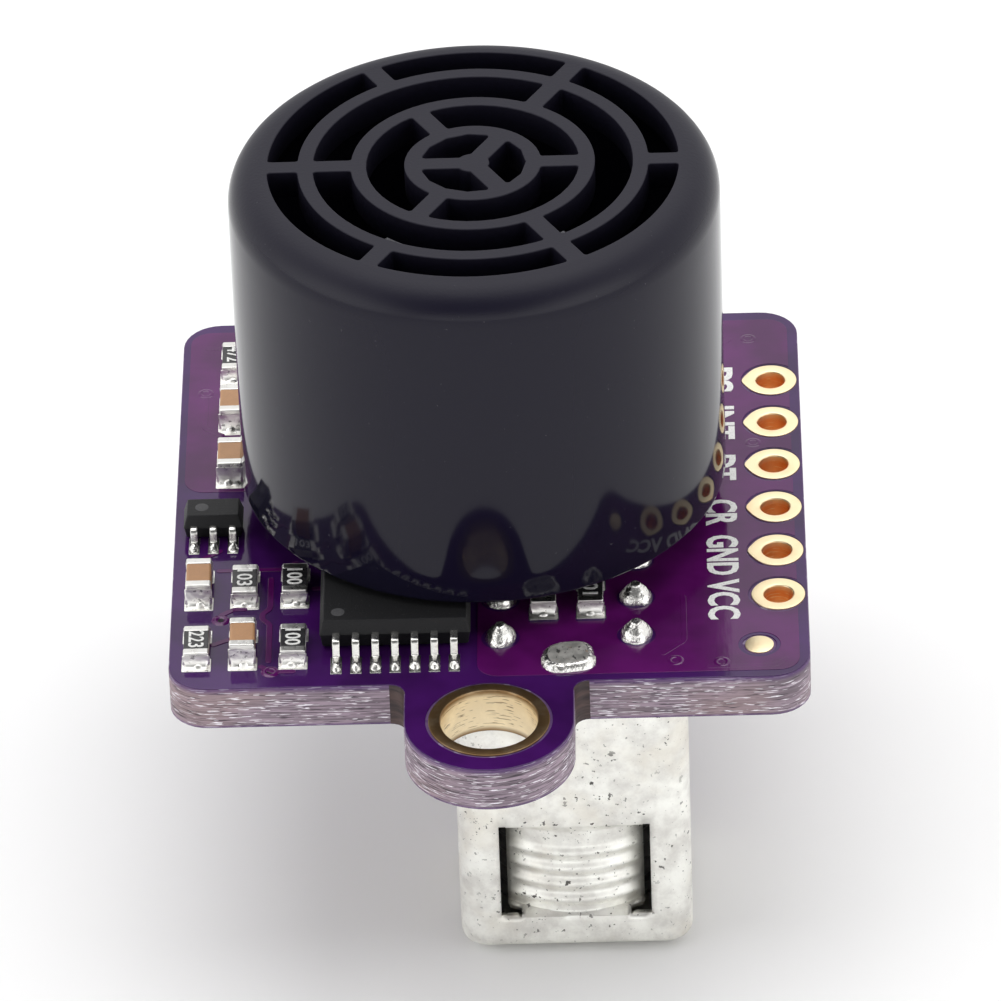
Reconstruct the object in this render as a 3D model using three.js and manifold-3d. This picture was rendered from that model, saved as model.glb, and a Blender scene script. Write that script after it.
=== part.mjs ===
// Ultrasonic distance sensor: a small circuit board with two screw ears, a tall 40 kHz transducer on its top
// face, a step-up transformer in a metal can under it, and the chips that drive and read them.
// Millimetres, +Z up. The origin is the centre of the transducer's open face, where distance is measured from.
// Inside this file the pieces are placed in the board's frame: z = 0 is the board's top face, -Y its front edge.
import * as THREE from "three";
import { mergeVertices } from "three/addons/utils/BufferGeometryUtils.js";
import Module from "manifold-3d";

const wasm = await Module();
wasm.setup();

// ---- Driving dimensions ----

// Circuit board, its screw ears and its plated holes
const BOARD_WIDTH = 21.2;
const BOARD_DEPTH = 21.6;
const BOARD_THICKNESS = 1.6;
const BOARD_CORNER = 1.3;
const EAR_RADIUS = 2.8;
const EAR_HOLE_RADIUS = 1.6;
const EAR_REACH = 2.08; // from the board's edge to the hole's centre
const EAR_ROOT_FILLET = 0.5;
const EAR_PAD_WIDTH = 0.4; // of the gold ring round the hole
const HEADER_COUNT = 6;
const HEADER_PITCH = 2.54;
const HEADER_INSET = 0.98; // from the board's right edge
const HEADER_SHIFT = 0.2; // of the row's middle towards the back
const HEADER_HOLE_RADIUS = 0.49;
const HEADER_PAD_WIDTH = 0.4;
const PLATING = 0.05;
const TEST_PAD_RADIUS = 0.48;
const TEST_PAD_INSET = [1.67, 1.8]; // from the right and front edges

// Transducer
const TRANSDUCER_OFFSET = -0.15; // of its axis along X from the board's middle
const HOUSING_RADIUS = 8.15;
const HOUSING_HEIGHT = 12.1;
const HOUSING_WALL = 0.75;
const HOUSING_FACE = 1.0; // thickness of the slotted face
const HOUSING_EDGE = 1.25; // radius of the face's outer edge
const HOUSING_FOOT_CHAMFER = 0.15;
const FACE_RIM = 1.34; // from the outside to the first slots
const FACE_BAR = 0.52; // ring bars between the slots
const FACE_SPOKE = 0.66;
const FACE_EYE_RADIUS = 1.75; // the round opening in the middle
const FACE_HUB_RADIUS = 0.55;
const SLOT_FACET = 0.9; // length of a slot's arc facets
// Rings of slots from the middle out: spokes in each, their turn and the ring's share of the free width
const SLOT_RINGS = [
  { spokes: 3, turn: 0, share: 1.25 },
  { spokes: 3, turn: Math.PI, share: 1.25 },
  { spokes: 6, turn: 0, share: 1 },
];
const PLUG_RECESS = 0.25;
const PLUG_THICKNESS = 1.8;
const PEDESTAL_RADIUS = 4.2;
const PEDESTAL_HEIGHT = 1.8;
const PIN_SPACING = 10;
const TRANSDUCER_PIN_RADIUS = 0.32;
const PIN_STUB = 0.8; // of a transducer pin above the plug
const PIN_TAIL = 0.25; // of a pin past its solder
const CUSHION_RADII = [2.3, 3.3];
const CUSHION_HEIGHT = 0.8;
const PIEZO_RADIUS = 4.3;
const PIEZO_THICKNESS = 0.35;
const DIAPHRAGM_RADIUS = 4.8;
const DIAPHRAGM_THICKNESS = 0.25;
const CONE_RADII = [0.9, 4.1];
const CONE_HEIGHT = 2.4;
const CONE_WALL = 0.3;
const LEAD_WIRE_RADIUS = 0.1;
const LEAD_WIRE_BOW = 0.2;
const LEAD_WIRE_DROP = 0.3;
const LEAD_WIRE_LANDING = 0.35; // from the diaphragm's edge

// Transformer
const CAN_INSET = 0.9; // of the can's front wall from the board's front edge
const CAN_OFFSET = 2.62;
const CAN_EXTRA_WIDTH = 0.3; // the can is this much wider than deep
const CAN_HEIGHT = 10.05;
const CAN_WALL = 0.3;
const CAN_CORNER = 0.9;
const CAN_EDGE = 0.5;
const CAN_STANDOFF = 0.1;
const CAN_EYE_RADIUS = 2.3;
const WINDOW_WIDTH = 5.05;
const WINDOW_HEIGHT = 3.8;
const WINDOW_LIFT = 1.35; // from the can's closed end
const WINDOW_SLIT = 0.27;
const THREAD_PITCH = 0.64;
const THREAD_RIDGES = 4;
const THREAD_DEPTH = 0.12;
const LUG_WIDTH = 1.8;
const LUG_STAND = 0.4;
const LUG_ROOT = 2; // of a lug inside the can's wall
const LUG_SOLDER = [1.12, 0.72]; // half the mound's width and depth
const LUG_SOLDER_CROWN = 0.1; // over the lug's end
const FORMER_THICKNESS = 1.4;
const COIL_PIN_RADIUS = 0.28;
const COIL_PIN_PITCH = 2.15;
const COIL_PIN_ROWS = 4.5;
const DRUM_RADIUS = 1.9;
const DRUM_POST_RADIUS = 0.9;
const DRUM_FLANGE = 0.5;
const DRUM_HEIGHT = 4.3;
const CORE_RADIUS = 3.28;
const CORE_WALL = 0.85;
const CORE_CHAMFER = 0.2;
const CORE_CROWN = 2.2;
const CORE_TRAVEL = 0.6; // room to screw in or out from the middle setting
const CORE_SLOT = [3.6, 0.6, 0.7]; // the driver slot's length, width and depth

// Chips: body length, body width, height, leads a side, lead pitch, lead width and span over the leads
const AMPLIFIER = { length: 5.0, width: 4.4, height: 1.1, pins: 7, pitch: 0.65, lead: 0.25, span: 6.4 };
const CONTROLLER = { length: 6.5, width: 4.4, height: 1.1, pins: 10, pitch: 0.65, lead: 0.25, span: 6.4 };
const DRIVER = { length: 2.0, width: 1.25, height: 0.95, pins: 3, pitch: 0.65, lead: 0.24, span: 2.1 };
const LEAD_THICKNESS = 0.15;
const LEAD_ROOT = 0.1; // of a lead inside the body
const LEAD_SHOULDER = 0.3; // share of a lead's reach before it bends down
const LEAD_HEEL = 0.5; // share of its reach where it meets the board
const BODY_CHAMFER = 0.12;
const BODY_STANDOFF = 0.1;
const RESISTOR = { width: 0.85, length: 1.6, height: 0.5 };
const CAPACITOR = { width: 0.85, length: 1.6, height: 0.8 };
const TANTALUM = { width: 1.6, length: 3.2, height: 1.6 };
const CRYSTAL = { width: 2.5, length: 3.2, height: 0.8 };
const TERMINAL = 0.32; // length of a chip's metal end
const TERMINAL_STEP = 0.03; // of a metal end above the body
const FILLET = 0.28; // reach of the solder past a chip's end
const FILLET_CLIMB = 0.75; // share of a chip's height that the solder climbs

// Clearances
const FIT = 0.01; // between pieces that touch
const RUN = 0.05; // round a pin in its hole, and between the threads
const HEADROOM = 0.2; // between the tallest chip and the transducer over it
const SOLDER_RADIUS = 0.62;
const SOLDER_HEIGHT = 0.55;
const SOLDER_WAIST = 0.35; // share of its height where it is half as wide

// ---- Values worked out from them ----
const HALF_WIDTH = BOARD_WIDTH / 2;
const HALF_DEPTH = BOARD_DEPTH / 2;
const UNDERSIDE = -BOARD_THICKNESS;
const EAR_Y = HALF_DEPTH + EAR_REACH;
const HOUSING_FOOT = AMPLIFIER.height + HEADROOM;
const FACE_Z = HOUSING_FOOT + HOUSING_HEIGHT;
const BORE_RADIUS = HOUSING_RADIUS - HOUSING_WALL;
const PLUG_FOOT = HOUSING_FOOT + PLUG_RECESS;
const PLUG_TOP = PLUG_FOOT + PLUG_THICKNESS;
const PEDESTAL_TOP = PLUG_TOP + PEDESTAL_HEIGHT;
const PIEZO_Z = PEDESTAL_TOP + CUSHION_HEIGHT + 2 * FIT;
const DIAPHRAGM_Z = PIEZO_Z + PIEZO_THICKNESS + FIT;
const CONE_Z = DIAPHRAGM_Z + DIAPHRAGM_THICKNESS + FIT;
const STRIP_RADIUS = CORE_RADIUS + RUN + CAN_WALL;
const CAN_DEPTH = 2 * (STRIP_RADIUS + THREAD_DEPTH);
const CAN_WIDTH = CAN_DEPTH + CAN_EXTRA_WIDTH;
const CAN_Y = -HALF_DEPTH + CAN_INSET + CAN_DEPTH / 2;
const CAN_RIM = UNDERSIDE - CAN_STANDOFF;
const CAN_END = CAN_RIM - CAN_HEIGHT;
const LUG_Y = CAN_DEPTH / 2 - CAN_WALL / 2;
const FORMER_FOOT = CAN_RIM - FORMER_THICKNESS;
const CORE_FOOT = CAN_END + CAN_WALL + CORE_TRAVEL;

// ---- Finishes ----
const finish = (color, roughness, metalness = 0) =>
  new THREE.MeshStandardMaterial({ color, roughness, metalness });
const FINISHES = {
  solderMask: finish(0x4c1e78, 0.35),
  gold: finish(0xd8ae5a, 0.3, 1),
  blackPlastic: finish(0x1c1c22, 0.2),
  mattPlastic: finish(0x26262a, 0.7),
  tin: finish(0xc8c6be, 0.35, 1),
  aluminium: finish(0xa8aaad, 0.4, 1),
  ceramic: finish(0xd9cfb4, 0.6),
  capacitor: finish(0xb98762, 0.6),
  rubber: finish(0xd8d8d2, 0.8),
  ferrite: finish(0x2e2c2c, 0.7),
  copper: finish(0xb3602c, 0.3, 1),
  tantalum: finish(0xd9a441, 0.5),
};

// ---- Geometry helpers ----
const board = new THREE.Group();

function place(name, geometry, material, x = 0, y = 0, z = 0) {
  const mesh = new THREE.Mesh(geometry, material);
  mesh.name = name;
  mesh.position.set(x, y, z);
  board.add(mesh);
  return mesh;
}

function solidOf(geometry) {
  const bare = geometry.clone();
  bare.deleteAttribute("normal");
  bare.deleteAttribute("uv");
  const merged = mergeVertices(bare, 1e-5);
  return new wasm.Manifold(
    new wasm.Mesh({
      numProp: 3,
      vertProperties: merged.attributes.position.array,
      triVerts: new Uint32Array(merged.index.array),
    }),
  );
}

function geometryOf(solid) {
  const { vertProperties, triVerts } = solid.getMesh();
  const geometry = new THREE.BufferGeometry();
  geometry.setAttribute("position", new THREE.BufferAttribute(vertProperties, 3));
  geometry.setIndex(new THREE.BufferAttribute(triVerts, 1));
  geometry.computeVertexNormals();
  return geometry;
}

const cut = (stock, ...tools) =>
  geometryOf(tools.reduce((solid, tool) => solid.subtract(solidOf(tool)), solidOf(stock)));
const join = (first, ...others) =>
  geometryOf(others.reduce((solid, other) => solid.add(solidOf(other)), solidOf(first)));
const common = (first, second) => geometryOf(solidOf(first).intersect(solidOf(second)));

// Points along an arc, both ends included
function arc(x, y, radius, from, to, steps) {
  return Array.from({ length: steps + 1 }, (_, i) => {
    const angle = from + ((to - from) * i) / steps;
    return new THREE.Vector2(x + radius * Math.cos(angle), y + radius * Math.sin(angle));
  });
}

const circle = (x, y, radius, steps) => arc(x, y, radius, 0, 2 * Math.PI, steps).slice(0, -1);

function roundedRectangle(width, depth, radius, steps) {
  const [x, y] = [width / 2 - radius, depth / 2 - radius];
  const corners = [[x, y], [-x, y], [-x, -y], [x, -y]];
  return corners.flatMap(([cx, cy], i) =>
    arc(cx, cy, radius, (i * Math.PI) / 2, ((i + 1) * Math.PI) / 2, steps));
}

const prism = (points, height) =>
  new THREE.ExtrudeGeometry(new THREE.Shape(points), { depth: height, bevelEnabled: false });

const box = (width, depth, height) => new THREE.BoxGeometry(width, depth, height);

// A solid of revolution about Z from [radius, height] pairs that run up the outside
function turned(profile, steps) {
  const points = profile.map(([r, z]) => new THREE.Vector2(r, z));
  return new THREE.LatheGeometry(points, steps).rotateX(Math.PI / 2);
}

function ring(inner, outer, from, to, steps) {
  return turned([[inner, from], [outer, from], [outer, to], [inner, to], [inner, from]], steps);
}

const rod = (radius, from, to, steps) =>
  turned([[0, from], [radius, from], [radius, to], [0, to]], steps);

// A box standing on z = 0, with all its edges chamfered
function chamferedBox(width, depth, height, chamfer) {
  const half = [width / 2 - chamfer, depth / 2 - chamfer];
  const corners = [[-1, -1], [1, -1], [1, 1], [-1, 1]];
  const shape = new THREE.Shape(corners.map(([x, y]) => new THREE.Vector2(x * half[0], y * half[1])));
  return new THREE.ExtrudeGeometry(shape, {
    depth: height - 2 * chamfer,
    bevelThickness: chamfer,
    bevelSize: chamfer,
    bevelSegments: 1,
  }).translate(0, 0, chamfer);
}

// A side view in (y, z), drawn out along X to both sides of the middle
function sideView(points, width) {
  const axes = [new THREE.Vector3(0, 1, 0), new THREE.Vector3(0, 0, 1), new THREE.Vector3(1, 0, 0)];
  return prism(points.map(([y, z]) => new THREE.Vector2(y, z)), width)
    .translate(0, 0, -width / 2)
    .applyMatrix4(new THREE.Matrix4().makeBasis(...axes));
}

// ---- Circuit board ----

// Half of the outline, from the back left corner over the left, front and ear to the front right corner
function halfOutline() {
  const [x, y, c] = [HALF_WIDTH, HALF_DEPTH, BOARD_CORNER];
  const [root, fillet] = [EAR_RADIUS + EAR_ROOT_FILLET, EAR_ROOT_FILLET];
  return [
    ...arc(-x + c, -y + c, c, Math.PI, 1.5 * Math.PI, 6),
    ...arc(-root, -y - fillet, fillet, Math.PI / 2, 0, 4),
    ...arc(0, -EAR_Y, EAR_RADIUS, Math.PI, 2 * Math.PI, 24),
    ...arc(root, -y - fillet, fillet, Math.PI, Math.PI / 2, 4),
    ...arc(x - c, -y + c, c, -Math.PI / 2, 0, 6),
  ];
}

const earHoles = [[0, -EAR_Y], [0, EAR_Y]];
const headerHoles = Array.from({ length: HEADER_COUNT }, (_, i) => [
  HALF_WIDTH - HEADER_INSET,
  HEADER_SHIFT + (i - (HEADER_COUNT - 1) / 2) * HEADER_PITCH,
]);
const transducerPins = [-1, 1].map((side) => [TRANSDUCER_OFFSET + (side * PIN_SPACING) / 2, 0]);
const coilPins = [-1, 1].flatMap((side) =>
  [-1, 0, 1].map((step) => [CAN_OFFSET + (side * COIL_PIN_ROWS) / 2, CAN_Y + step * COIL_PIN_PITCH]));
const lugs = [-1, 1].map((side) => [CAN_OFFSET, CAN_Y + side * LUG_Y]);

function addBoard() {
  const half = halfOutline().slice(0, -1);
  const shape = new THREE.Shape([...half, ...half.map((p) => p.clone().negate())]);
  const drill = (centres, radius, steps) =>
    centres.forEach(([x, y]) => shape.holes.push(new THREE.Path(circle(x, y, radius, steps))));
  drill(earHoles, EAR_HOLE_RADIUS + PLATING + FIT, 36);
  drill(headerHoles, HEADER_HOLE_RADIUS + PLATING + FIT, 16);
  drill(transducerPins, TRANSDUCER_PIN_RADIUS + 2 * RUN, 12);
  drill(coilPins, COIL_PIN_RADIUS + 2 * RUN, 12);
  lugs.forEach(([x, y]) => {
    const slot = roundedRectangle(LUG_WIDTH + 6 * RUN, CAN_WALL + 4 * RUN, 2 * RUN, 1);
    shape.holes.push(new THREE.Path(slot.map((p) => p.add(new THREE.Vector2(x, y)))));
  });
  const slab = new THREE.ExtrudeGeometry(shape, { depth: BOARD_THICKNESS, bevelEnabled: false });
  place("circuit_board", slab, FINISHES.solderMask, 0, 0, UNDERSIDE);
}

// A plated hole: a thin barrel with a flange on each face of the board
function eyelet(radius, padWidth, steps) {
  const [outer, flange] = [radius + PLATING, radius + padWidth];
  const [low, high] = [UNDERSIDE - FIT, FIT];
  return turned([
    [radius, low - PLATING], [flange, low - PLATING], [flange, low], [outer, low], [outer, high],
    [flange, high], [flange, high + PLATING], [radius, high + PLATING], [radius, low - PLATING],
  ], steps);
}

function addPads() {
  const names = ["front_ear_eyelet", "rear_ear_eyelet"];
  earHoles.forEach(([x, y], i) =>
    place(names[i], eyelet(EAR_HOLE_RADIUS, EAR_PAD_WIDTH, 36), FINISHES.gold, x, y));
  headerHoles.forEach(([x, y], i) =>
    place(`header_eyelet_${i + 1}`, eyelet(HEADER_HOLE_RADIUS, HEADER_PAD_WIDTH, 16), FINISHES.gold, x, y));
  const [x, y] = [HALF_WIDTH - TEST_PAD_INSET[0], -HALF_DEPTH + TEST_PAD_INSET[1]];
  place("test_pad", rod(TEST_PAD_RADIUS, FIT, FIT + PLATING, 16), FINISHES.gold, x, y);
}

// ---- Transducer ----

// One slot of a ring: an annular sector between two spokes of even width
function slot(inner, outer, from, to) {
  const lead = (radius) => Math.asin(FACE_SPOKE / 2 / radius);
  const steps = Math.max(4, Math.round(((to - from) * outer) / SLOT_FACET));
  return [
    ...arc(0, 0, outer, from + lead(outer), to - lead(outer), steps),
    ...arc(0, 0, inner, to - lead(inner), from + lead(inner), steps),
  ];
}

// Every slot of the face. The middle opening is three sectors round a small hub
function faceSlots() {
  const free = HOUSING_RADIUS - FACE_RIM - FACE_EYE_RADIUS - SLOT_RINGS.length * FACE_BAR;
  const unit = free / SLOT_RINGS.reduce((sum, { share }) => sum + share, 0);
  const slots = [];
  const cutRing = (inner, outer, spokes, turn) => {
    const step = (2 * Math.PI) / spokes;
    for (let i = 0; i < spokes; i++) slots.push(slot(inner, outer, turn + i * step, turn + (i + 1) * step));
  };
  cutRing(FACE_HUB_RADIUS, FACE_EYE_RADIUS, 3, Math.PI);
  let inner = FACE_EYE_RADIUS + FACE_BAR;
  for (const { spokes, turn, share } of SLOT_RINGS) {
    cutRing(inner, inner + share * unit, spokes, turn);
    inner += share * unit + FACE_BAR;
  }
  return slots;
}

function addHousing() {
  const [radius, edge, chamfer] = [HOUSING_RADIUS, HOUSING_EDGE, HOUSING_FOOT_CHAMFER];
  const ceiling = HOUSING_HEIGHT - HOUSING_FACE;
  const shoulder = arc(radius - edge, HOUSING_HEIGHT - edge, edge, 0, Math.PI / 2, 5);
  const shell = turned([
    [0, ceiling], [BORE_RADIUS, ceiling], [BORE_RADIUS, 0], [radius - chamfer, 0], [radius, chamfer],
    ...shoulder.map((p) => [p.x, p.y]), [0, HOUSING_HEIGHT],
  ], 72);
  const punches = faceSlots().map((points) =>
    prism(points, 2 * HOUSING_FACE).translate(0, 0, ceiling - HOUSING_FACE / 2));
  place("transducer_housing", cut(shell, ...punches), FINISHES.blackPlastic, TRANSDUCER_OFFSET, 0, HOUSING_FOOT);
}

function addPlug() {
  const plug = turned([
    [0, PLUG_FOOT], [BORE_RADIUS - RUN, PLUG_FOOT], [BORE_RADIUS - RUN, PLUG_TOP],
    [PEDESTAL_RADIUS, PLUG_TOP], [PEDESTAL_RADIUS, PEDESTAL_TOP], [0, PEDESTAL_TOP],
  ], 48);
  const bores = [-1, 1].map((side) =>
    rod(TRANSDUCER_PIN_RADIUS + RUN, PLUG_FOOT - 1, PLUG_TOP + 1, 12)
      .translate((side * PIN_SPACING) / 2, 0, 0));
  place("transducer_plug", cut(plug, ...bores), FINISHES.mattPlastic, TRANSDUCER_OFFSET);
}

// A pin with the cone of solder that holds it, on the far face of the board from its part
function solderedPin(radius, from, face, to) {
  const out = Math.sign(to - face);
  const foot = face + out * FIT;
  const tip = face + out * SOLDER_HEIGHT;
  const profile = [
    [0, from], [radius, from], [radius, foot], [SOLDER_RADIUS, foot],
    [(SOLDER_RADIUS + radius) / 2, foot + out * SOLDER_HEIGHT * SOLDER_WAIST],
    [radius + RUN, tip], [radius, tip], [radius, to], [0, to],
  ];
  return turned(out > 0 ? profile : profile.reverse(), 12);
}

function addTransducerPins() {
  const names = ["transducer_pin_left", "transducer_pin_right"];
  const tail = UNDERSIDE - SOLDER_HEIGHT - PIN_TAIL;
  transducerPins.forEach(([x, y], i) =>
    place(names[i], solderedPin(TRANSDUCER_PIN_RADIUS, PLUG_TOP + PIN_STUB, UNDERSIDE, tail), FINISHES.tin, x, y));
}

// The sounding stack on the plug's pedestal: cushion ring, piezo disc, metal diaphragm and radiating cone
function addSounder() {
  const at = TRANSDUCER_OFFSET;
  const [inner, outer] = CUSHION_RADII;
  const cushionFoot = PEDESTAL_TOP + FIT;
  place("cushion_ring", ring(inner, outer, cushionFoot, cushionFoot + CUSHION_HEIGHT, 32), FINISHES.rubber, at);
  place("piezo_disc", rod(PIEZO_RADIUS, PIEZO_Z, PIEZO_Z + PIEZO_THICKNESS, 40), FINISHES.ceramic, at);
  place("diaphragm", rod(DIAPHRAGM_RADIUS, DIAPHRAGM_Z, DIAPHRAGM_Z + DIAPHRAGM_THICKNESS, 40),
    FINISHES.aluminium, at);
  const [narrow, wide] = CONE_RADII;
  place("radiating_cone", turned([
    [0, 0], [narrow, 0], [wide, CONE_HEIGHT], [wide - CONE_WALL, CONE_HEIGHT],
    [narrow - CONE_WALL, CONE_WALL], [0, CONE_WALL],
  ], 40), FINISHES.aluminium, at, 0, CONE_Z);
}

// Hair-thin leads that rise from the pins and drop on the rim of the diaphragm
function addLeadWires() {
  const section = new THREE.Shape(circle(0, 0, LEAD_WIRE_RADIUS, 6));
  const start = PIN_SPACING / 2;
  const pinTop = PLUG_TOP + PIN_STUB + FIT;
  const landing = DIAPHRAGM_Z + DIAPHRAGM_THICKNESS + LEAD_WIRE_RADIUS + 2 * FIT;
  ["lead_wire_left", "lead_wire_right"].forEach((name, i) => {
    const side = i ? 1 : -1;
    const path = new THREE.CatmullRomCurve3([
      new THREE.Vector3(side * start, 0, pinTop),
      new THREE.Vector3(side * (start + LEAD_WIRE_BOW), 0, (pinTop + landing) / 2),
      new THREE.Vector3(side * start, 0, landing + LEAD_WIRE_DROP),
      new THREE.Vector3(side * (DIAPHRAGM_RADIUS - LEAD_WIRE_LANDING), 0, landing),
    ]);
    const wire = new THREE.ExtrudeGeometry(section, { steps: 10, extrudePath: path });
    place(name, wire, FINISHES.copper, TRANSDUCER_OFFSET);
  });
}

// ---- Transformer ----

// The can's own frame: z = 0 is its closed end, and it opens upwards to the board
function canShell() {
  const walls = (width, depth, radius, edge, from) =>
    new THREE.ExtrudeGeometry(
      new THREE.Shape(roundedRectangle(width - 2 * edge, depth - 2 * edge, radius - edge, 4)),
      { depth: CAN_HEIGHT, bevelThickness: edge, bevelSize: edge, bevelSegments: 3 },
    ).translate(0, 0, from + edge);
  const inside = [CAN_WIDTH - 2 * CAN_WALL, CAN_DEPTH - 2 * CAN_WALL, CAN_CORNER - CAN_WALL];
  const above = box(2 * CAN_WIDTH, 2 * CAN_DEPTH, CAN_HEIGHT).translate(0, 0, 1.5 * CAN_HEIGHT);
  const window = box(WINDOW_WIDTH, 2 * CAN_DEPTH, WINDOW_HEIGHT)
    .translate(0, 0, WINDOW_LIFT + WINDOW_HEIGHT / 2);
  return cut(
    walls(CAN_WIDTH, CAN_DEPTH, CAN_CORNER, CAN_EDGE, 0), above,
    walls(...inside, CAN_EDGE - CAN_WALL, CAN_WALL),
    rod(CAN_EYE_RADIUS, -CAN_WALL, 2 * CAN_WALL, 32), window,
  );
}

// The strips pressed in at both windows: bent round the core, with thread ridges
function threadStrips() {
  const [lap, outer] = [CAN_WALL / 2, STRIP_RADIUS];
  const [low, high] = [WINDOW_LIFT - lap, WINDOW_LIFT + WINDOW_HEIGHT + lap];
  const ridges = Array.from({ length: THREAD_RIDGES }, (_, i) => {
    const z = WINDOW_LIFT + (i + 1) * THREAD_PITCH;
    return [[outer, z - THREAD_PITCH / 3], [outer + THREAD_DEPTH, z], [outer, z + THREAD_PITCH / 3]];
  }).flat();
  const sleeve = turned([
    [outer - CAN_WALL, low], [outer, low], ...ridges, [outer, high], [outer - CAN_WALL, high],
    [outer - CAN_WALL, low],
  ], 64);
  const keep = box(WINDOW_WIDTH - 2 * WINDOW_SLIT, 2 * CAN_DEPTH, high - low + 1).translate(0, 0, (low + high) / 2);
  return common(sleeve, keep);
}

function addCan() {
  const rise = CAN_STANDOFF + BOARD_THICKNESS + LUG_STAND;
  const tabs = [-1, 1].map((side) =>
    box(LUG_WIDTH, CAN_WALL, rise + LUG_ROOT).translate(0, side * LUG_Y, CAN_HEIGHT + (rise - LUG_ROOT) / 2));
  const can = join(canShell(), threadStrips(), ...tabs);
  place("transformer_can", can, FINISHES.tin, CAN_OFFSET, CAN_Y, CAN_END);
}

// The domes of solder that hold the can's two lugs on the board's top face
function addLugSolder() {
  const names = ["front_lug_solder", "rear_lug_solder"];
  const dome = arc(0, 0, 1, 0, Math.PI / 2, 4).map((p) => [p.x, p.y]);
  lugs.forEach(([x, y], i) => {
    const solder = turned([[0, 0], ...dome.slice(0, -1), [0, 1]], 20)
      .scale(...LUG_SOLDER, LUG_STAND + LUG_SOLDER_CROWN);
    const lug = box(LUG_WIDTH + 2 * FIT, CAN_WALL + 2 * FIT, 4 * LUG_STAND);
    place(names[i], cut(solder, lug), FINISHES.tin, x, y, FIT);
  });
}

function addFormer() {
  const [width, depth] = [CAN_WIDTH, CAN_DEPTH].map((size) => size - 2 * CAN_WALL - 2 * RUN);
  const bores = coilPins.map(([x, y]) =>
    rod(COIL_PIN_RADIUS + RUN, -1, FORMER_THICKNESS + 1, 12).translate(x - CAN_OFFSET, y - CAN_Y, 0));
  const outline = roundedRectangle(width, depth, CAN_CORNER - CAN_WALL, 2);
  const former = cut(prism(outline, FORMER_THICKNESS), ...bores);
  place("transformer_former", former, FINISHES.mattPlastic, CAN_OFFSET, CAN_Y, FORMER_FOOT);
  coilPins.forEach(([x, y], i) => {
    const pin = solderedPin(COIL_PIN_RADIUS, FORMER_FOOT + RUN, 0, SOLDER_HEIGHT + RUN);
    place(`transformer_pin_${i + 1}`, pin, FINISHES.tin, x, y);
  });
}

// The drum that carries the winding hangs from the former, and the threaded cup closes over it
function addDrum() {
  const top = FORMER_FOOT - FIT;
  const foot = top - DRUM_HEIGHT;
  const [wide, narrow, flange] = [DRUM_RADIUS, DRUM_POST_RADIUS, DRUM_FLANGE];
  place("drum_core", turned([
    [0, foot], [wide, foot], [wide, foot + flange], [narrow, foot + flange],
    [narrow, top - flange], [wide, top - flange], [wide, top], [0, top],
  ], 32), FINISHES.ferrite, CAN_OFFSET, CAN_Y);
  const coil = ring(narrow + FIT, wide - RUN, foot + flange + FIT, top - flange - FIT, 32);
  place("coil_winding", coil, FINISHES.copper, CAN_OFFSET, CAN_Y);
}

function addTuningCore() {
  const mouth = FORMER_FOOT - CORE_TRAVEL;
  const [length, width, depth] = CORE_SLOT;
  const cup = turned([
    [0, CORE_FOOT], [CORE_RADIUS - CORE_CHAMFER, CORE_FOOT], [CORE_RADIUS, CORE_FOOT + CORE_CHAMFER], [CORE_RADIUS, mouth],
    [CORE_RADIUS - CORE_WALL, mouth], [CORE_RADIUS - CORE_WALL, CORE_FOOT + CORE_CROWN],
    [0, CORE_FOOT + CORE_CROWN],
  ], 48);
  const driver = box(length, width, 2 * depth).translate(0, 0, CORE_FOOT);
  place("tuning_core", cut(cup, driver), FINISHES.ferrite, CAN_OFFSET, CAN_Y);
}

// ---- Chips ----

// A moulded body with bent leads along both long sides
function leadedChip({ length, width, height, pins, pitch, lead, span }) {
  const [edge, tip, middle, t] = [width / 2, span / 2, height / 2, LEAD_THICKNESS];
  const [shoulder, heel] = [LEAD_SHOULDER, LEAD_HEEL].map((share) => edge + (tip - edge) * share);
  const profile = [
    [edge - LEAD_ROOT, middle], [shoulder, middle], [heel, FIT], [tip, FIT],
    [tip, FIT + t], [heel + t, FIT + t], [shoulder + t, middle + t], [edge - LEAD_ROOT, middle + t],
  ];
  const leads = [];
  for (let i = 0; i < pins; i++) {
    const x = (i - (pins - 1) / 2) * pitch;
    const right = sideView(profile, lead).translate(x, 0, 0);
    leads.push(right, right.clone().rotateZ(Math.PI));
  }
  const body = chamferedBox(length, width, height - BODY_STANDOFF, BODY_CHAMFER).translate(0, 0, BODY_STANDOFF);
  return join(body, ...leads);
}

// A chip resistor or capacitor: body, two metal ends and the solder that climbs them
function blockChip({ width, length, height }) {
  const [end, inner] = [length / 2, length / 2 - TERMINAL];
  const half = [
    [end + FILLET, FIT], [end, height * FILLET_CLIMB], [end, height], [inner, height],
    [inner, height - TERMINAL_STEP],
  ];
  return sideView([...half, ...half.map(([y, z]) => [-y, z]).reverse()], width);
}

// Places of chips, from the board's left edge and front edge
const fromCorner = (right, back) => [-HALF_WIDTH + right, -HALF_DEPTH + back];
const COLUMNS = [0.92, 2.45, 4.12];
const ROWS = [2.15, 5.62];
const LEFT_COLUMN = 1.8;
const TOP_CHIPS = [
  ["capacitor_1", CAPACITOR, COLUMNS[0], ROWS[1]],
  ["capacitor_2", CAPACITOR, COLUMNS[1], ROWS[0]],
  ["capacitor_3", CAPACITOR, LEFT_COLUMN, 12.75],
  ["capacitor_4", CAPACITOR, LEFT_COLUMN, 15.95],
  ["resistor_1", RESISTOR, COLUMNS[1], ROWS[1]],
  ["resistor_2", RESISTOR, COLUMNS[2], ROWS[1]],
  ["resistor_3", RESISTOR, COLUMNS[0], ROWS[0]],
  ["resistor_4", RESISTOR, COLUMNS[2], ROWS[0]],
  ["resistor_5", RESISTOR, LEFT_COLUMN, 19.0],
];
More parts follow.
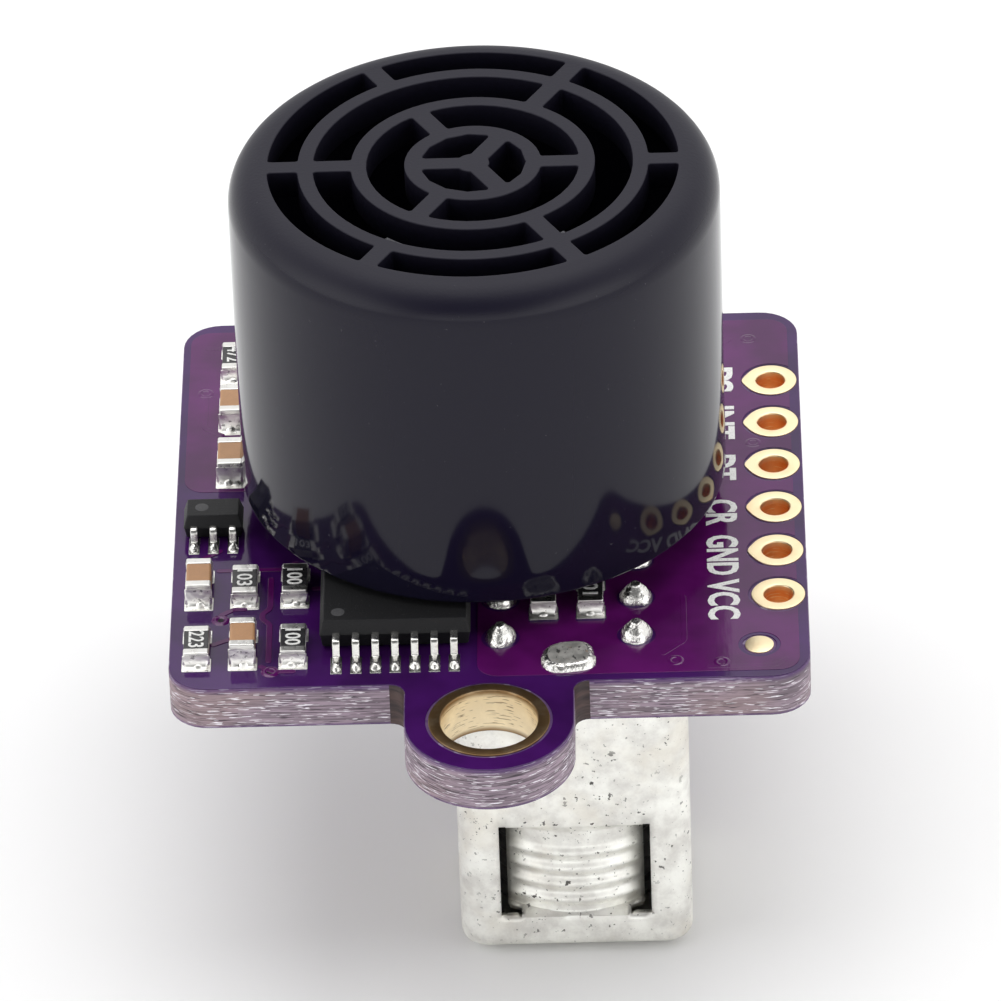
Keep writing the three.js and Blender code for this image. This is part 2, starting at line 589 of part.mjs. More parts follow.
// Resistors between the transformer's pin rows, from its middle
const MIDDLE_CHIPS = [["resistor_6", -0.82], ["resistor_7", 0.75]];
// Chips on the underside, from the same corner
const UNDER_CHIPS = [
  ["capacitor_5", CAPACITOR, 3.4, 10.4],
  ["capacitor_6", CAPACITOR, 13.6, 18.6],
  ["capacitor_7", CAPACITOR, 15.4, 18.6],
  ["tantalum_capacitor", TANTALUM, 4.0, 5.0],
];

function addChips() {
  const [ampX, ampY] = fromCorner(7.5, 4.25);
  place("amplifier_chip", leadedChip(AMPLIFIER), FINISHES.mattPlastic, ampX, ampY);
  const [driverX, driverY] = fromCorner(1.33, 9.17);
  place("driver_chip", leadedChip(DRIVER), FINISHES.mattPlastic, driverX, driverY);
  const looks = new Map([
    [RESISTOR, FINISHES.mattPlastic], [CAPACITOR, FINISHES.capacitor], [TANTALUM, FINISHES.tantalum],
  ]);
  TOP_CHIPS.forEach(([name, kind, right, back]) =>
    place(name, blockChip(kind), looks.get(kind), ...fromCorner(right, back)));
  MIDDLE_CHIPS.forEach(([name, right]) =>
    place(name, blockChip(RESISTOR), looks.get(RESISTOR), CAN_OFFSET + right, CAN_Y));
  const turnOver = (mesh) => mesh.rotation.set(0, Math.PI, 0);
  UNDER_CHIPS.forEach(([name, kind, right, back]) =>
    turnOver(place(name, blockChip(kind), looks.get(kind), ...fromCorner(right, back), UNDERSIDE)));
  const controller = leadedChip(CONTROLLER);
  turnOver(place("controller_chip", controller, FINISHES.mattPlastic, ...fromCorner(6.2, 16.2), UNDERSIDE - FIT));
  const crystal = chamferedBox(CRYSTAL.length, CRYSTAL.width, CRYSTAL.height, BODY_CHAMFER);
  turnOver(place("crystal", crystal, FINISHES.tin, ...fromCorner(14.5, 15.2), UNDERSIDE - FIT));
}

addBoard();
addPads();
addHousing();
addPlug();
addTransducerPins();
addSounder();
addLeadWires();
addCan();
addLugSolder();
addFormer();
addDrum();
addTuningCore();
addChips();

// The board's frame sits below the sensor's origin, with the transducer's axis on Z
board.position.set(-TRANSDUCER_OFFSET, 0, -FACE_Z);
const sensor = new THREE.Group();
sensor.add(board);
export default sensor;
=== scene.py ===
"""The looks of a small ultrasonic distance sensor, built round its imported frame.

Shapes are worked out in millimetres in the frame's own axes and become metres when a piece is made.
"""

import math

import bmesh
import bpy
import numpy as np
from mathutils import Matrix, Vector
from mathutils.geometry import tessellate_polygon


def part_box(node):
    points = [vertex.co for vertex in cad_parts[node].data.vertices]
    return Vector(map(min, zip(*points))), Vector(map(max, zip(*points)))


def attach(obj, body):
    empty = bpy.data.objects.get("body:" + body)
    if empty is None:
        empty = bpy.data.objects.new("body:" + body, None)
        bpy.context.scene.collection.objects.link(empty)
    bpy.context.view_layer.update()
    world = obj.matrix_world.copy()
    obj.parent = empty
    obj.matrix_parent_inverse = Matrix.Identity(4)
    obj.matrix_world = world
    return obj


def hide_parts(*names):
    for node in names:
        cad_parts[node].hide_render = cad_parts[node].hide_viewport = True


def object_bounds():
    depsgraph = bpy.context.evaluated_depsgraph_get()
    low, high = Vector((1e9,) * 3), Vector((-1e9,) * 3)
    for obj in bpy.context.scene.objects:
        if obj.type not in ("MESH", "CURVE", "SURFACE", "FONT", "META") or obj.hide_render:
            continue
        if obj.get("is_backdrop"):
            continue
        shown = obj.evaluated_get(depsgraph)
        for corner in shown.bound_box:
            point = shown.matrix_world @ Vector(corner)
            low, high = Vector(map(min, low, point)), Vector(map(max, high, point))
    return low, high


bl_info = {
    "name": "Distance Sensor Looks",
    "version": (1, 0, 0),
    "blender": (4, 5, 0),
    "location": "View3D > Sidebar > Sensor",
    "description": "Builds the transducer, transformer, board and chips of a distance sensor",
    "category": "Object",
}

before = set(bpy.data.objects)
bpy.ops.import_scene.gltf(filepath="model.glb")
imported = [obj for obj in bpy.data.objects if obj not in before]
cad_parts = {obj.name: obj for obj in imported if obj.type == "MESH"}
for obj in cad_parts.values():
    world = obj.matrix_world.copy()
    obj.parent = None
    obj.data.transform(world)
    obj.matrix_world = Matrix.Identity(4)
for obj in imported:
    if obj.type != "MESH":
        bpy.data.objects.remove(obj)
CAD_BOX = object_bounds()

MM = 0.001
WELD = 2e-7  # metres: points closer than this are one
CREASE = math.radians(38)
TAU = 2 * math.pi
REST_BODY = "sensor"
CORE_BODY = "core"


# ---- Reading the frame ----


def box(node):
    """A CAD node's lowest and highest corner, in millimetres."""
    low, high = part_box(node)
    return np.array(low) / MM, np.array(high) / MM


def middle(node):
    low, high = box(node)
    return (low + high) / 2


def radius(node):
    low, high = box(node)
    return (high[0] - low[0]) / 2


HOUSING_LOW, HOUSING_HIGH = box("transducer_housing")
BOARD_LOW, BOARD_HIGH = box("circuit_board")
CAN_LOW, CAN_HIGH = box("transformer_can")
TOP = BOARD_HIGH[2]
UNDERSIDE = BOARD_LOW[2]
FACE = HOUSING_HIGH[2]
EARS = [middle("front_ear_eyelet")[:2], middle("rear_ear_eyelet")[:2]]
HEADER = [middle(f"header_eyelet_{i}")[:2] for i in range(1, 7)]


# ---- Settings ----


def length(name, description, millimetres):
    return bpy.props.FloatProperty(
        name=name, description=description, default=millimetres * MM, unit="LENGTH", precision=5
    )


def amount(name, description, default, **limits):
    return bpy.props.FloatProperty(name=name, description=description, default=default, **limits)


def angle(name, description, degrees):
    return amount(name, description, math.radians(degrees), unit="ROTATION")


def colour(name, description, *rgb):
    return bpy.props.FloatVectorProperty(
        name=name, description=description, default=rgb, size=3, min=0, max=1, subtype="COLOR"
    )


class TransducerSettings(bpy.types.PropertyGroup):
    """Sizes and colours of the transducer."""

    edge: length("Edge radius", "Radius of the face's outer edge", 1.25)
    face: length("Face thickness", "Thickness of the slotted face", 1.0)
    wall: length("Wall", "Thickness of the cup's wall", 0.75)
    rim: length("Rim", "From the cup's outside to the first slots", 1.34)
    bar: length("Ring bar", "Width of the rings between the slots", 0.52)
    spoke: length("Spoke", "Width of the spokes", 0.66)
    eye: length("Eye radius", "Radius of the opening in the middle", 1.75)
    hub: length("Hub radius", "Radius of the hub in the middle", 0.55)
    plastic: colour("Plastic", "The cup's moulded plastic", 0.006, 0.005, 0.014)
    # The cone's grey is far darker than bare aluminium: painted shade for the inside of the cup.
    metal: colour("Cone", "The radiating cone and the diaphragm", 0.22, 0.22, 0.24)


class BoardSettings(bpy.types.PropertyGroup):
    """Sizes and colours of the circuit board."""

    corner: length("Corner", "Radius of the board's corners", 1.3)
    reach: length("Ear reach", "From the board's edge to the ear hole's centre", 2.08)
    root: length("Ear root", "Radius of the fillet at the ear's root", 0.5)
    film: length("Mask film", "Thickness of the solder mask", 0.03)
    track: length("Track", "Width of a thin track", 0.2)
    letter: length("Letter height", "Height of the printed letters", 1.08)
    mask: colour("Mask", "Solder mask over bare laminate", 0.044, 0.006, 0.088)
    copper_mask: colour("Mask on copper", "Solder mask over copper", 0.088, 0.005, 0.096)
    laminate: colour("Laminate", "The board's cut edge", 0.265, 0.205, 0.25)
    gold: colour("Gold", "The pads", 0.95, 0.80, 0.52)


class TransformerSettings(bpy.types.PropertyGroup):
    """Sizes and colours of the transformer."""

    sheet: length("Sheet", "Thickness of the can's sheet", 0.3)
    corner: length("Corner", "Radius of the can's upright edges", 0.9)
    edge: length("End edge", "Radius round the can's closed end", 0.5)
    eye: length("Eye radius", "Radius of the opening for the tuning tool", 2.3)
    window: length("Window width", "Width of the pressed window", 5.05)
    window_height: length("Window height", "Height of the pressed window", 3.8)
    lift: length("Window lift", "From the closed end to the window", 1.35)
    slit: length("Slit", "Width of the slits beside the strip", 0.23)
    pitch: length("Thread pitch", "Pitch of the ridges on the strip", 0.64)
    ridge: length("Ridge", "Height of the ridges on the strip", 0.12)
    tin: colour("Tin", "The can's tinned sheet", 0.90, 0.88, 0.83)
    ferrite: colour("Ferrite", "The drum and the tuning core", 0.035, 0.033, 0.034)


class ChipSettings(bpy.types.PropertyGroup):
    """Sizes and colours of the chips and their solder."""

    bevel: length("Bevel", "Rounding of the small parts' edges", 0.04)
    terminal: length("Terminal", "Length of a metal end", 0.32)
    draft: length("Draft", "How far a moulded body leans in", 0.12)
    lead: length("Lead", "Thickness of a bent lead", 0.15)
    body: colour("Body", "Moulded chip bodies", 0.010, 0.010, 0.011)
    capacitor: colour("Capacitor", "Ceramic capacitors", 0.44, 0.235, 0.115)
    solder: colour("Solder", "Solder and tinned ends", 0.78, 0.77, 0.74)
    print: colour("Print", "Printed letters and digits", 0.86, 0.86, 0.84)


class StageSettings(bpy.types.PropertyGroup):
    """Camera, floor and lights."""

    azimuth: angle("Azimuth", "Camera's turn round the sensor", 1.268)
    elevation: angle("Elevation", "Camera's height angle", 34.709)
    roll: angle("Roll", "Camera's tilt", -2.118)
    distance: length("Distance", "From the camera to the point it looks at", 337.77)
    lens: amount("Lens", "Focal length", 360.4, unit="CAMERA")
    floor: colour("Floor", "The floor's colour", 0.90, 0.90, 0.90)
    sky: amount("Sky", "Strength of the light all round", 1.06, min=0)
    key: amount("Key", "Power of the soft light overhead", 1.5, min=0)
    fill: amount("Fill", "Strength of the low lights in front", 0.85, min=0)
    gloom: amount("Gloom", "Darkness over the front", 0.88, min=0, max=1)


def settings(name):
    return getattr(bpy.context.scene, f"sensor_{name}")


def mm(metres):
    """A setting in metres as millimetres."""
    return metres / MM


# ---- Shells: points in millimetres and their faces ----


def unit(vectors):
    return vectors / np.linalg.norm(vectors, axis=-1, keepdims=True)


class Shell:
    """Points, blocks of faces that hold point numbers, and a finish number for each face."""

    def __init__(self, points, faces, finishes=None):
        self.points = np.asarray(points, float).reshape(-1, 3)
        self.faces = faces
        self.finishes = finishes or [np.zeros(len(block), int) for block in faces]

    def __add__(self, other):
        shift = len(self.points)
        points = np.concatenate([self.points, other.points])
        return Shell(points, self.faces + [f + shift for f in other.faces], self.finishes + other.finishes)

    def __radd__(self, other):
        return self if other == 0 else NotImplemented

    def painted(self, number):
        return Shell(self.points, self.faces, [np.full(len(block), number) for block in self.faces])

    def painted_where(self, test, number):
        """The same shell with another finish where test, a function of the faces' centres, holds."""
        finishes = [
            np.where(test(self.points[block].mean(1)), number, old)
            for block, old in zip(self.faces, self.finishes)
        ]
        return Shell(self.points, self.faces, finishes)

    def moved(self, x=0.0, y=0.0, z=0.0):
        return Shell(self.points + (x, y, z), self.faces, self.finishes)

    def sized(self, x, y, z):
        return Shell(self.points * (x, y, z), self.faces, self.finishes)

    def spread_out(self, factors):
        """Each point's distance from the Z axis times its own factor."""
        return Shell(np.c_[self.points[:, :2] * factors[:, None], self.points[:, 2]], self.faces, self.finishes)

    def turned(self, degrees, axis="Z"):
        matrix = np.array(Matrix.Rotation(math.radians(degrees), 3, axis))
        return Shell(self.points @ matrix.T, self.faces, self.finishes)

    def cycled(self):
        """Stands the shell up: its X becomes Y, its Y becomes Z and its Z becomes X."""
        return Shell(self.points[:, [2, 0, 1]], self.faces, self.finishes)


def grid(points, wrap=True):
    """Quads between neighbours of a (rows, columns, 3) array. With wrap, each row closes on itself."""
    rows, columns = points.shape[:2]
    numbers = np.arange(rows * columns).reshape(rows, columns)
    right = np.roll(numbers, -1, 1) if wrap else numbers[:, 1:]
    left = numbers if wrap else numbers[:, :-1]
    quads = np.stack([left[:-1], right[:-1], right[1:], left[1:]], -1).reshape(-1, 4)
    return Shell(points, [quads])


def lathe(profile, steps=96):
    """A profile of (radius, height) rows turned once round Z: x = r cos t, y = r sin t."""
    profile = np.asarray(profile, float)
    turn = np.linspace(0, TAU, steps, endpoint=False)
    r, z = profile[:, :1], profile[:, 1:]
    return grid(np.stack([r * np.cos(turn), r * np.sin(turn), z + 0 * turn], -1))


def rounded(corners, radii, steps=5, closed=True):
    """Corners joined by arcs: each arc's centre is on the corner's bisector, r / sin(half angle) away."""
    corners = np.asarray(corners, float)
    radii = np.broadcast_to(radii, len(corners))
    before, after = np.roll(corners, 1, 0), np.roll(corners, -1, 0)
    made = []
    for i, (last, here, following, r) in enumerate(zip(before, corners, after, radii)):
        if r <= 0 or (not closed and i in (0, len(corners) - 1)):
            made.append(here[None])
            continue
        a, b = unit(last - here), unit(following - here)
        half = math.acos(np.clip(a @ b, -1, 1)) / 2
        centre = here + unit(a + b) * r / math.sin(half)
        start, end = here + a * r / math.tan(half) - centre, here + b * r / math.tan(half) - centre
        turn = math.atan2(start[0] * end[1] - start[1] * end[0], start @ end)
        angles = math.atan2(start[1], start[0]) + np.linspace(0, turn, steps + 1)
        made.append(centre + r * np.stack([np.cos(angles), np.sin(angles)], -1))
    return np.concatenate(made)


def rectangle(width, depth, corner=0.0, steps=5):
    x, y = width / 2, depth / 2
    return rounded([(-x, -y), (x, -y), (x, y), (-x, y)], corner, steps)


def circle(r, steps=64, centre=(0, 0)):
    turn = np.linspace(0, TAU, steps, endpoint=False)
    return np.stack([centre[0] + r * np.cos(turn), centre[1] + r * np.sin(turn)], -1)


def area(loop):
    x, y = loop.T
    return (x * np.roll(y, -1) - y * np.roll(x, -1)).sum() / 2


def inset(loop, distance):
    """The loop moved to its left: each point goes along the mean of its two edges' normals."""
    along = unit(np.roll(loop, -1, 0) - loop)
    normal = np.stack([-along[:, 1], along[:, 0]], -1)
    last = np.roll(normal, 1, 0)
    mean = (normal + last) / (1 + (normal * last).sum(1, keepdims=True))
    return loop + mean * distance


def shrunk(loop, distance):
    """The loop scaled about the origin, so that its box loses distance on every side."""
    return loop * (1 - 2 * distance / np.ptp(loop, axis=0))


def edge_rows(low, high, edge, steps=3):
    """(inset, height) rows from a plate's top flat, over a quarter-round edge, down to its bottom flat."""
    turn = np.linspace(0, math.pi / 2, steps + 1)
    over = np.stack([edge * (1 - np.sin(turn)), high - edge * (1 - np.cos(turn))], -1)
    under = np.stack([edge * (1 - np.cos(turn)), low + edge * (1 - np.sin(turn))], -1)
    lip = edge * 1.4
    return np.concatenate([[(lip, high)], over, under, [(lip, low)]])


def plate(outer, rim, holes=(), lining=None, drawn_in=inset):
    """A flat plate with holes. Each outline is carried down its (inset, height) rows, the outer one
    on rim and the holes on lining, and the flats are filled between the first and the last rows."""
    loops = [outer if area(outer) > 0 else outer[::-1]]
    loops += [hole if area(hole) < 0 else hole[::-1] for hole in holes]
    shells, tops, bottoms, start = [], [], [], 0
    for i, loop in enumerate(loops):
        rows = rim if i == 0 or lining is None else lining
        points = np.stack([np.c_[drawn_in(loop, d), np.full(len(loop), z)] for d, z in rows])
        shells.append(grid(points))
        numbers = start + np.arange(points.shape[0] * points.shape[1]).reshape(points.shape[:2])
        tops.append((points[0], numbers[0]))
        bottoms.append((points[-1], numbers[-1]))
        start += numbers.size
    body = sum(shells)
    for rings, flip in ((tops, False), (bottoms, True)):
        flat = np.array(tessellate_polygon([[Vector(p) for p in points] for points, _ in rings]))
        corners = np.concatenate([points[:, :2] for points, _ in rings])[flat]
        filled = sum(abs(area(triangle)) for triangle in corners)
        if abs(filled - sum(area(points[:, :2]) for points, _ in rings)) > 0.01:
            raise ValueError("a plate's outlines touch or cross")
        triangles = np.concatenate([n for _, n in rings])[flat]
        body.faces.append(triangles[:, ::-1] if flip else triangles)
        body.finishes.append(np.zeros(len(triangles), int))
    return body


def slab(outline, low, high, edge, holes=(), steps=3):
    return plate(outline, edge_rows(low, high, edge, steps), holes)


def block(width, depth, low, high, edge, corner=None):
    """A box with all its edges rounded, standing from low to high."""
    return slab(rectangle(width, depth, corner or edge * 1.5, 4), low, high, edge)


def strip(path, thickness, width, edge):
    """A bent strip: a path in (y, z) widened to both sides of its line and drawn out along X."""
    path = np.asarray(path, float)
    along = unit(np.gradient(path, axis=0))
    normal = np.stack([-along[:, 1], along[:, 0]], -1) * thickness / 2
    outline = np.concatenate([path + normal, (path - normal)[::-1]])
    return slab(outline, -width / 2, width / 2, edge, steps=2).cycled()


def side_view(outline, width, edge):
    """An outline in (y, z) drawn out along X to both sides of the middle."""
    return slab(np.asarray(outline, float), -width / 2, width / 2, edge, steps=2).cycled()


def dome(width, depth, height, power=2.5, steps=48, rows=9):
    """A low mound on an oval foot: height times (1 - s ** power), for s from the middle to the foot."""
    s = np.sin(np.linspace(0, math.pi / 2, rows))
    profile = np.stack([s, 1 - s**power], -1)
    return lathe(np.concatenate([profile, [(0, 0)]]), steps).sized(width / 2, depth / 2, height)


def tube(path, r, steps=12):
    """A round section carried along a path, with its ends drawn in to points."""
    path = np.asarray(path, float)
    along = unit(np.gradient(path, axis=0))
    side = unit(np.cross(along, (0.0, 1.0, 0.0)))
    up = np.cross(side, along)
    turn = np.linspace(0, TAU, steps, endpoint=False)[:, None]
    ring = lambda k: r * (np.cos(turn) * side[k] + np.sin(turn) * up[k])
    rings = [path[k] + ring(k) for k in range(len(path))]
    ends = [np.repeat(path[[k]], steps, 0) for k in (0, -1)]
    return grid(np.stack([ends[0], *rings, ends[1]]))


def bezier(*points, steps=24):
    """A smooth line: the weighted mean of its control points, with Bernstein weights."""
    points = np.asarray(points, float)
    order = len(points) - 1
    t = np.linspace(0, 1, steps)[:, None]
    return sum(math.comb(order, k) * t**k * (1 - t) ** (order - k) * p for k, p in enumerate(points))


def lettering(text, height, thickness, width=0.86, weight=0.0):
    """A word as thin solids standing on z = 0, centred on the origin and as tall as height."""
    curve = bpy.data.curves.new("word", "FONT")
    curve.body = text
    curve.extrude = 0.5
    curve.offset = weight
    curve.resolution_u = 3
    word = bpy.data.objects.new("word", curve)
    bpy.context.scene.collection.objects.link(word)
    mesh = word.evaluated_get(bpy.context.evaluated_depsgraph_get()).to_mesh()
    points = np.empty(len(mesh.vertices) * 3)
    mesh.vertices.foreach_get("co", points)
    mesh.calc_loop_triangles()
    triangles = np.empty(len(mesh.loop_triangles) * 3, np.int32)
    mesh.loop_triangles.foreach_get("vertices", triangles)
    bpy.data.objects.remove(word)
    points = points.reshape(-1, 3)
    low, high = points.min(0), points.max(0)
    scale = height / (high[1] - low[1])
    points = (points - (low + high) / 2) * (scale * width, scale, thickness / (high[2] - low[2]))
    return Shell(points + (0, 0, thickness / 2), [triangles.reshape(-1, 3)])


# ---- Finishes: shader nodes written as expressions ----


class Value:
    """A number that shader nodes work out. The operators add Math nodes."""

    def __init__(self, finish, socket):
        self.finish, self.socket = finish, socket

    def worked(self, operation, *others):
        inputs = dict(enumerate([self, *others]))
        return self.finish.value("ShaderNodeMath", {"operation": operation}, inputs)

    def reflected(self, operation, other):
        return self.finish.value("ShaderNodeMath", {"operation": operation}, {0: other, 1: self})

    def __add__(self, other):
        return self.worked("ADD", other)

    def __sub__(self, other):
        return self.worked("SUBTRACT", other)

    def __mul__(self, other):
        return self.worked("MULTIPLY", other)

    def __rsub__(self, other):
        return self.reflected("SUBTRACT", other)

    __radd__ = __add__
    __rmul__ = __mul__

    def step(self, low, high):
        """0 below low, 1 above high and a smooth rise between them."""
        inputs = {"Value": self, "From Min": low, "From Max": high}
        return self.finish.value("ShaderNodeMapRange", {"interpolation_type": "SMOOTHSTEP"}, inputs)

    def most(self, other):
        return self.worked("MAXIMUM", other)


class Nodes:
    """A node tree that grows through one method."""

    def __init__(self, tree, shader):
        self.tree = tree
        self.shader = tree.nodes[shader]

    def value(self, kind, attributes, inputs, output=0):
        """Adds a node, sets its attributes, then sets or links its inputs, and gives one output."""
        node = self.tree.nodes.new(kind)
        for attribute, setting in attributes.items():
            setattr(node, attribute, setting)
        for key, given in inputs.items():
            if isinstance(given, Value):
                self.tree.links.new(given.socket, node.inputs[key])
            else:
                node.inputs[key].default_value = given
        return Value(self, node.outputs[output])

    def feed(self, socket, value):
        self.tree.links.new(value.socket, self.shader.inputs[socket])
        return self


class Finish(Nodes):
    """A material whose Principled shader has its even values set and its varying ones fed by nodes."""

    def __init__(self, name, even=()):
        self.material = bpy.data.materials.new(name)
        self.material.use_nodes = True
        super().__init__(self.material.node_tree, "Principled BSDF")
        for socket, value in dict(even).items():
            self.shader.inputs[socket].default_value = value
        self.place = self.value("ShaderNodeTexCoord", {}, {}, "Object")

    def spread(self, per_mm):
        """Object coordinates with per_mm pattern lengths to a millimetre along X, Y and Z."""
        scale = tuple(n / MM for n in np.broadcast_to(per_mm, 3).tolist())
        return self.value("ShaderNodeMapping", {}, {"Vector": self.place, "Scale": scale})

    def height(self):
        """The frame's Z in millimetres."""
        parts = self.value("ShaderNodeSeparateXYZ", {}, {"Vector": self.place}, "Z")
        return parts * (1 / MM)

    def noise(self, per_mm, detail=3.0, roughness=0.55):
        inputs = {"Vector": self.spread(per_mm), "Scale": 1.0, "Detail": detail, "Roughness": roughness}
        return self.value("ShaderNodeTexNoise", {}, inputs)

    def cells(self, per_mm, output="Distance"):
        return self.value("ShaderNodeTexVoronoi", {}, {"Vector": self.spread(per_mm), "Scale": 1.0}, output)

    def mix(self, first, second, factor):
        """From the first colour to the second as factor goes from 0 to 1."""
        inputs = {0: factor, 6: opaque(first), 7: opaque(second)}
        return self.value("ShaderNodeMix", {"data_type": "RGBA"}, inputs, 2)

    def relief(self, height_value, depth, strength=1.0):
        """Feeds a bump of that depth in millimetres."""
        inputs = {"Height": height_value, "Distance": depth * MM, "Strength": strength}
        return self.feed("Normal", self.value("ShaderNodeBump", {}, inputs))


def opaque(given):
    return given if isinstance(given, Value) else (*given, 1.0)


def shade(rgb, factor):
    return tuple(min(1.0, c * factor) for c in rgb)


FINISHES = {}


def finish_of(name, make, *values):
    """The finish of that name, made the first time it is asked for."""
    if name not in FINISHES:
        FINISHES[name] = make(name, *values)
    return FINISHES[name].material


def gloss_moulding(name, rgb, face_height):
    """Polished moulded plastic, whose slotted face has a fine satin grain."""
    made = Finish(name, {"IOR": 1.33})
    smear = made.noise((0.25, 0.25, 0.5), 4)
    satin = made.height().step(face_height - 1.25, face_height - 0.05)
    dust = made.noise(7.0, 2).step(0.73, 0.78)
    made.feed("Base Color", made.mix(rgb, (0.30, 0.29, 0.30), dust * 0.12))
    made.feed("Roughness", 0.05 + smear * 0.07 + satin * 0.42 + dust * 0.2)
    return made.relief(made.noise(9.0, 2) * satin + made.noise(0.5, 2) * 0.3, 0.006)


def shaded_moulding(name, rgb):
    """The same plastic inside the cup, darker and duller: painted shade on the slot walls, the ceiling and the
    bore.
    """
    made = Finish(name, {"Specular IOR Level": 0.12})
    grain = made.noise(6.0, 3)
    made.feed("Base Color", made.mix(shade(rgb, 0.4), rgb, grain))
    made.feed("Roughness", 0.5 + grain * 0.2)
    return made.relief(grain, 0.01)


def matt_moulding(name, rgb):
    """Moulded epoxy or phenolic: fine grain with paler specks of filler."""
    made = Finish(name, {"Specular IOR Level": 0.25})
    grain = made.noise(16.0, 3)
    speck = made.noise(7.0, 2).step(0.66, 0.72)
    made.feed("Base Color", made.mix(shade(rgb, 0.75), shade(rgb, 1.7), grain))
    made.feed("Roughness", 0.42 + grain * 0.25 - speck * 0.12)
    return made.relief(grain + speck * 0.8, 0.012)


def solder_mask(name, rgb):
    """A glossy coloured film that lies over the laminate's weave."""
    made = Finish(name, {"IOR": 1.5})
    cloud = made.noise(0.35, 3)
    weave = made.noise((5.0, 0.7, 1.0), 2) * 0.5 + made.noise((0.7, 5.0, 1.0), 2) * 0.5
    made.feed("Base Color", made.mix(shade(rgb, 0.72), shade(rgb, 1.25), cloud.step(0.3, 0.7)))
    made.feed("Roughness", 0.06 + cloud * 0.08 + made.noise(6.0, 2).step(0.68, 0.75) * 0.15)
    return made.relief(weave + made.noise(1.6, 2) * 0.6, 0.005)


def cut_laminate(name, rgb, mask, top, bottom):
    """The routed edge: rows of glass fibre ends, tinted by the films at both faces."""
    made = Finish(name)
    rows = made.noise((0.45, 0.45, 13.0), 2)
    ends = made.noise((2.0, 2.0, 26.0), 1)
    pits = made.noise((1.3, 1.3, 23.0), 1)
    tone = made.noise(0.18, 2)
    height = made.height()
    film = height.step(top - 0.30, top - 0.02).most(1 - height.step(bottom + 0.02, bottom + 0.16))
    pale = made.mix(shade(rgb, 0.62), shade(rgb, 1.35), rows.step(0.36, 0.64))
    warm = made.mix(pale, (rgb[0] * 1.25, rgb[1] * 1.15, rgb[2] * 0.95), tone.step(0.45, 0.6) * 0.6)
    pitted = made.mix(warm, (0.02, 0.012, 0.022), pits.step(0.58, 0.66) * 0.8)
    flecked = made.mix(pitted, (0.88, 0.84, 0.90), ends.step(0.62, 0.67))
    made.feed("Base Color", made.mix(flecked, shade(mask, 1.6), film * 0.75))
    made.feed("Roughness", 0.5 + rows * 0.3)
    return made.relief(rows + ends * 0.8, 0.03)


def dark_root_laminate(name):
    """The laminate at the fillets where each ear meets the board, painted dark brown."""
    made = Finish(name)
    rows = made.noise((0.8, 0.8, 6.0), 3)
    made.feed("Base Color", made.mix((0.020, 0.010, 0.012), (0.085, 0.050, 0.045), rows.step(0.35, 0.7)))
    made.feed("Roughness", 0.5 + rows * 0.2)
    return made.relief(rows, 0.03)


def plated(name, rgb, dark, level, nicked):
    """Gold over copper: even on the pads, redder and marked by the drill between them. Level is the
    height under the upper pad where the change begins, and the lower pad is as far from the middle."""
    made = Finish(name, {"Metallic": 1.0})
    drill = made.noise((0.9, 0.9, 16.0), 2)
    nick = made.noise((2.0, 2.0, 22.0), 1).step(0.62, 0.68)
    height = made.height()
    lower = TOP + UNDERSIDE - level
    deep = height.step(lower + 0.02, lower + 0.25) * (1 - height.step(level - 0.25, level - 0.02))
    tone = made.mix(rgb, dark, deep * 0.85 + made.noise(1.2, 3).step(0.45, 0.85) * 0.25)
    made.feed("Base Color", made.mix(tone, nicked, nick * deep * 0.8))
    made.feed("Roughness", 0.30 + drill * 0.16 + deep * 0.12)
    return made.relief(drill * deep + made.noise(10.0, 2) * 0.5, 0.012)


def bare_metal(name, rgb, rough, grain=5.0, depth=0.006):
    """Pressed or drawn metal with a faint uneven sheen."""
    made = Finish(name, {"Metallic": 1.0})
    uneven = made.noise(grain, 3)
    made.feed("Base Color", made.mix(shade(rgb, 0.82), shade(rgb, 1.1), uneven))
    made.feed("Roughness", rough - 0.06 + uneven * 0.14)
    return made.relief(uneven, depth)


def tinned_sheet(name, rgb):
    """Hot-tinned sheet: cloudy crystals, fine scratches and dark pits."""
    made = Finish(name, {"Metallic": 0.8})
    cloud = made.noise(1.1, 4, 0.65)
    crystal = made.cells(1.7, "Color")
    patch = made.noise(0.35, 2).step(0.48, 0.62)
    coarse, fine = made.noise(4.6, 2).step(0.665, 0.70), made.noise(9.5, 2).step(0.68, 0.73)
    pits = coarse.most(fine * 0.8) * (0.35 + patch * 0.65)
    toned = made.mix(shade(rgb, 0.80), shade(rgb, 1.14), cloud.step(0.25, 0.7))
    yellowed = (rgb[0] * 0.90, rgb[1] * 0.875, rgb[2] * 0.82)
    warm = made.mix(toned, yellowed, made.noise(0.45, 3).step(0.45, 0.7) * 0.6)
    made.feed("Base Color", made.mix(warm, (0.07, 0.065, 0.06), pits * 0.9))
    made.feed("Roughness", 0.34 + cloud * 0.16 + pits * 0.25 + crystal * 0.03)
    return made.relief(cloud * 0.8 - pits * 0.6 + made.noise((2.0, 2.0, 0.5), 3) * 0.5, 0.018)


def solder_metal(name, rgb, depth=0.05, rough=0.14):
    """Reflowed solder: mirror-like with frosted patches and flux marks."""
    made = Finish(name, {"Metallic": 1.0})
    frost = made.noise(4.0, 4)
    flux = made.noise(6.5, 3).step(0.60, 0.68)
    made.feed("Base Color", made.mix(shade(rgb, 1.08), shade(rgb, 0.22), flux * 0.8))
    made.feed("Roughness", rough + frost * 0.22)
    return made.relief(frost + made.noise(2.0, 2), depth)


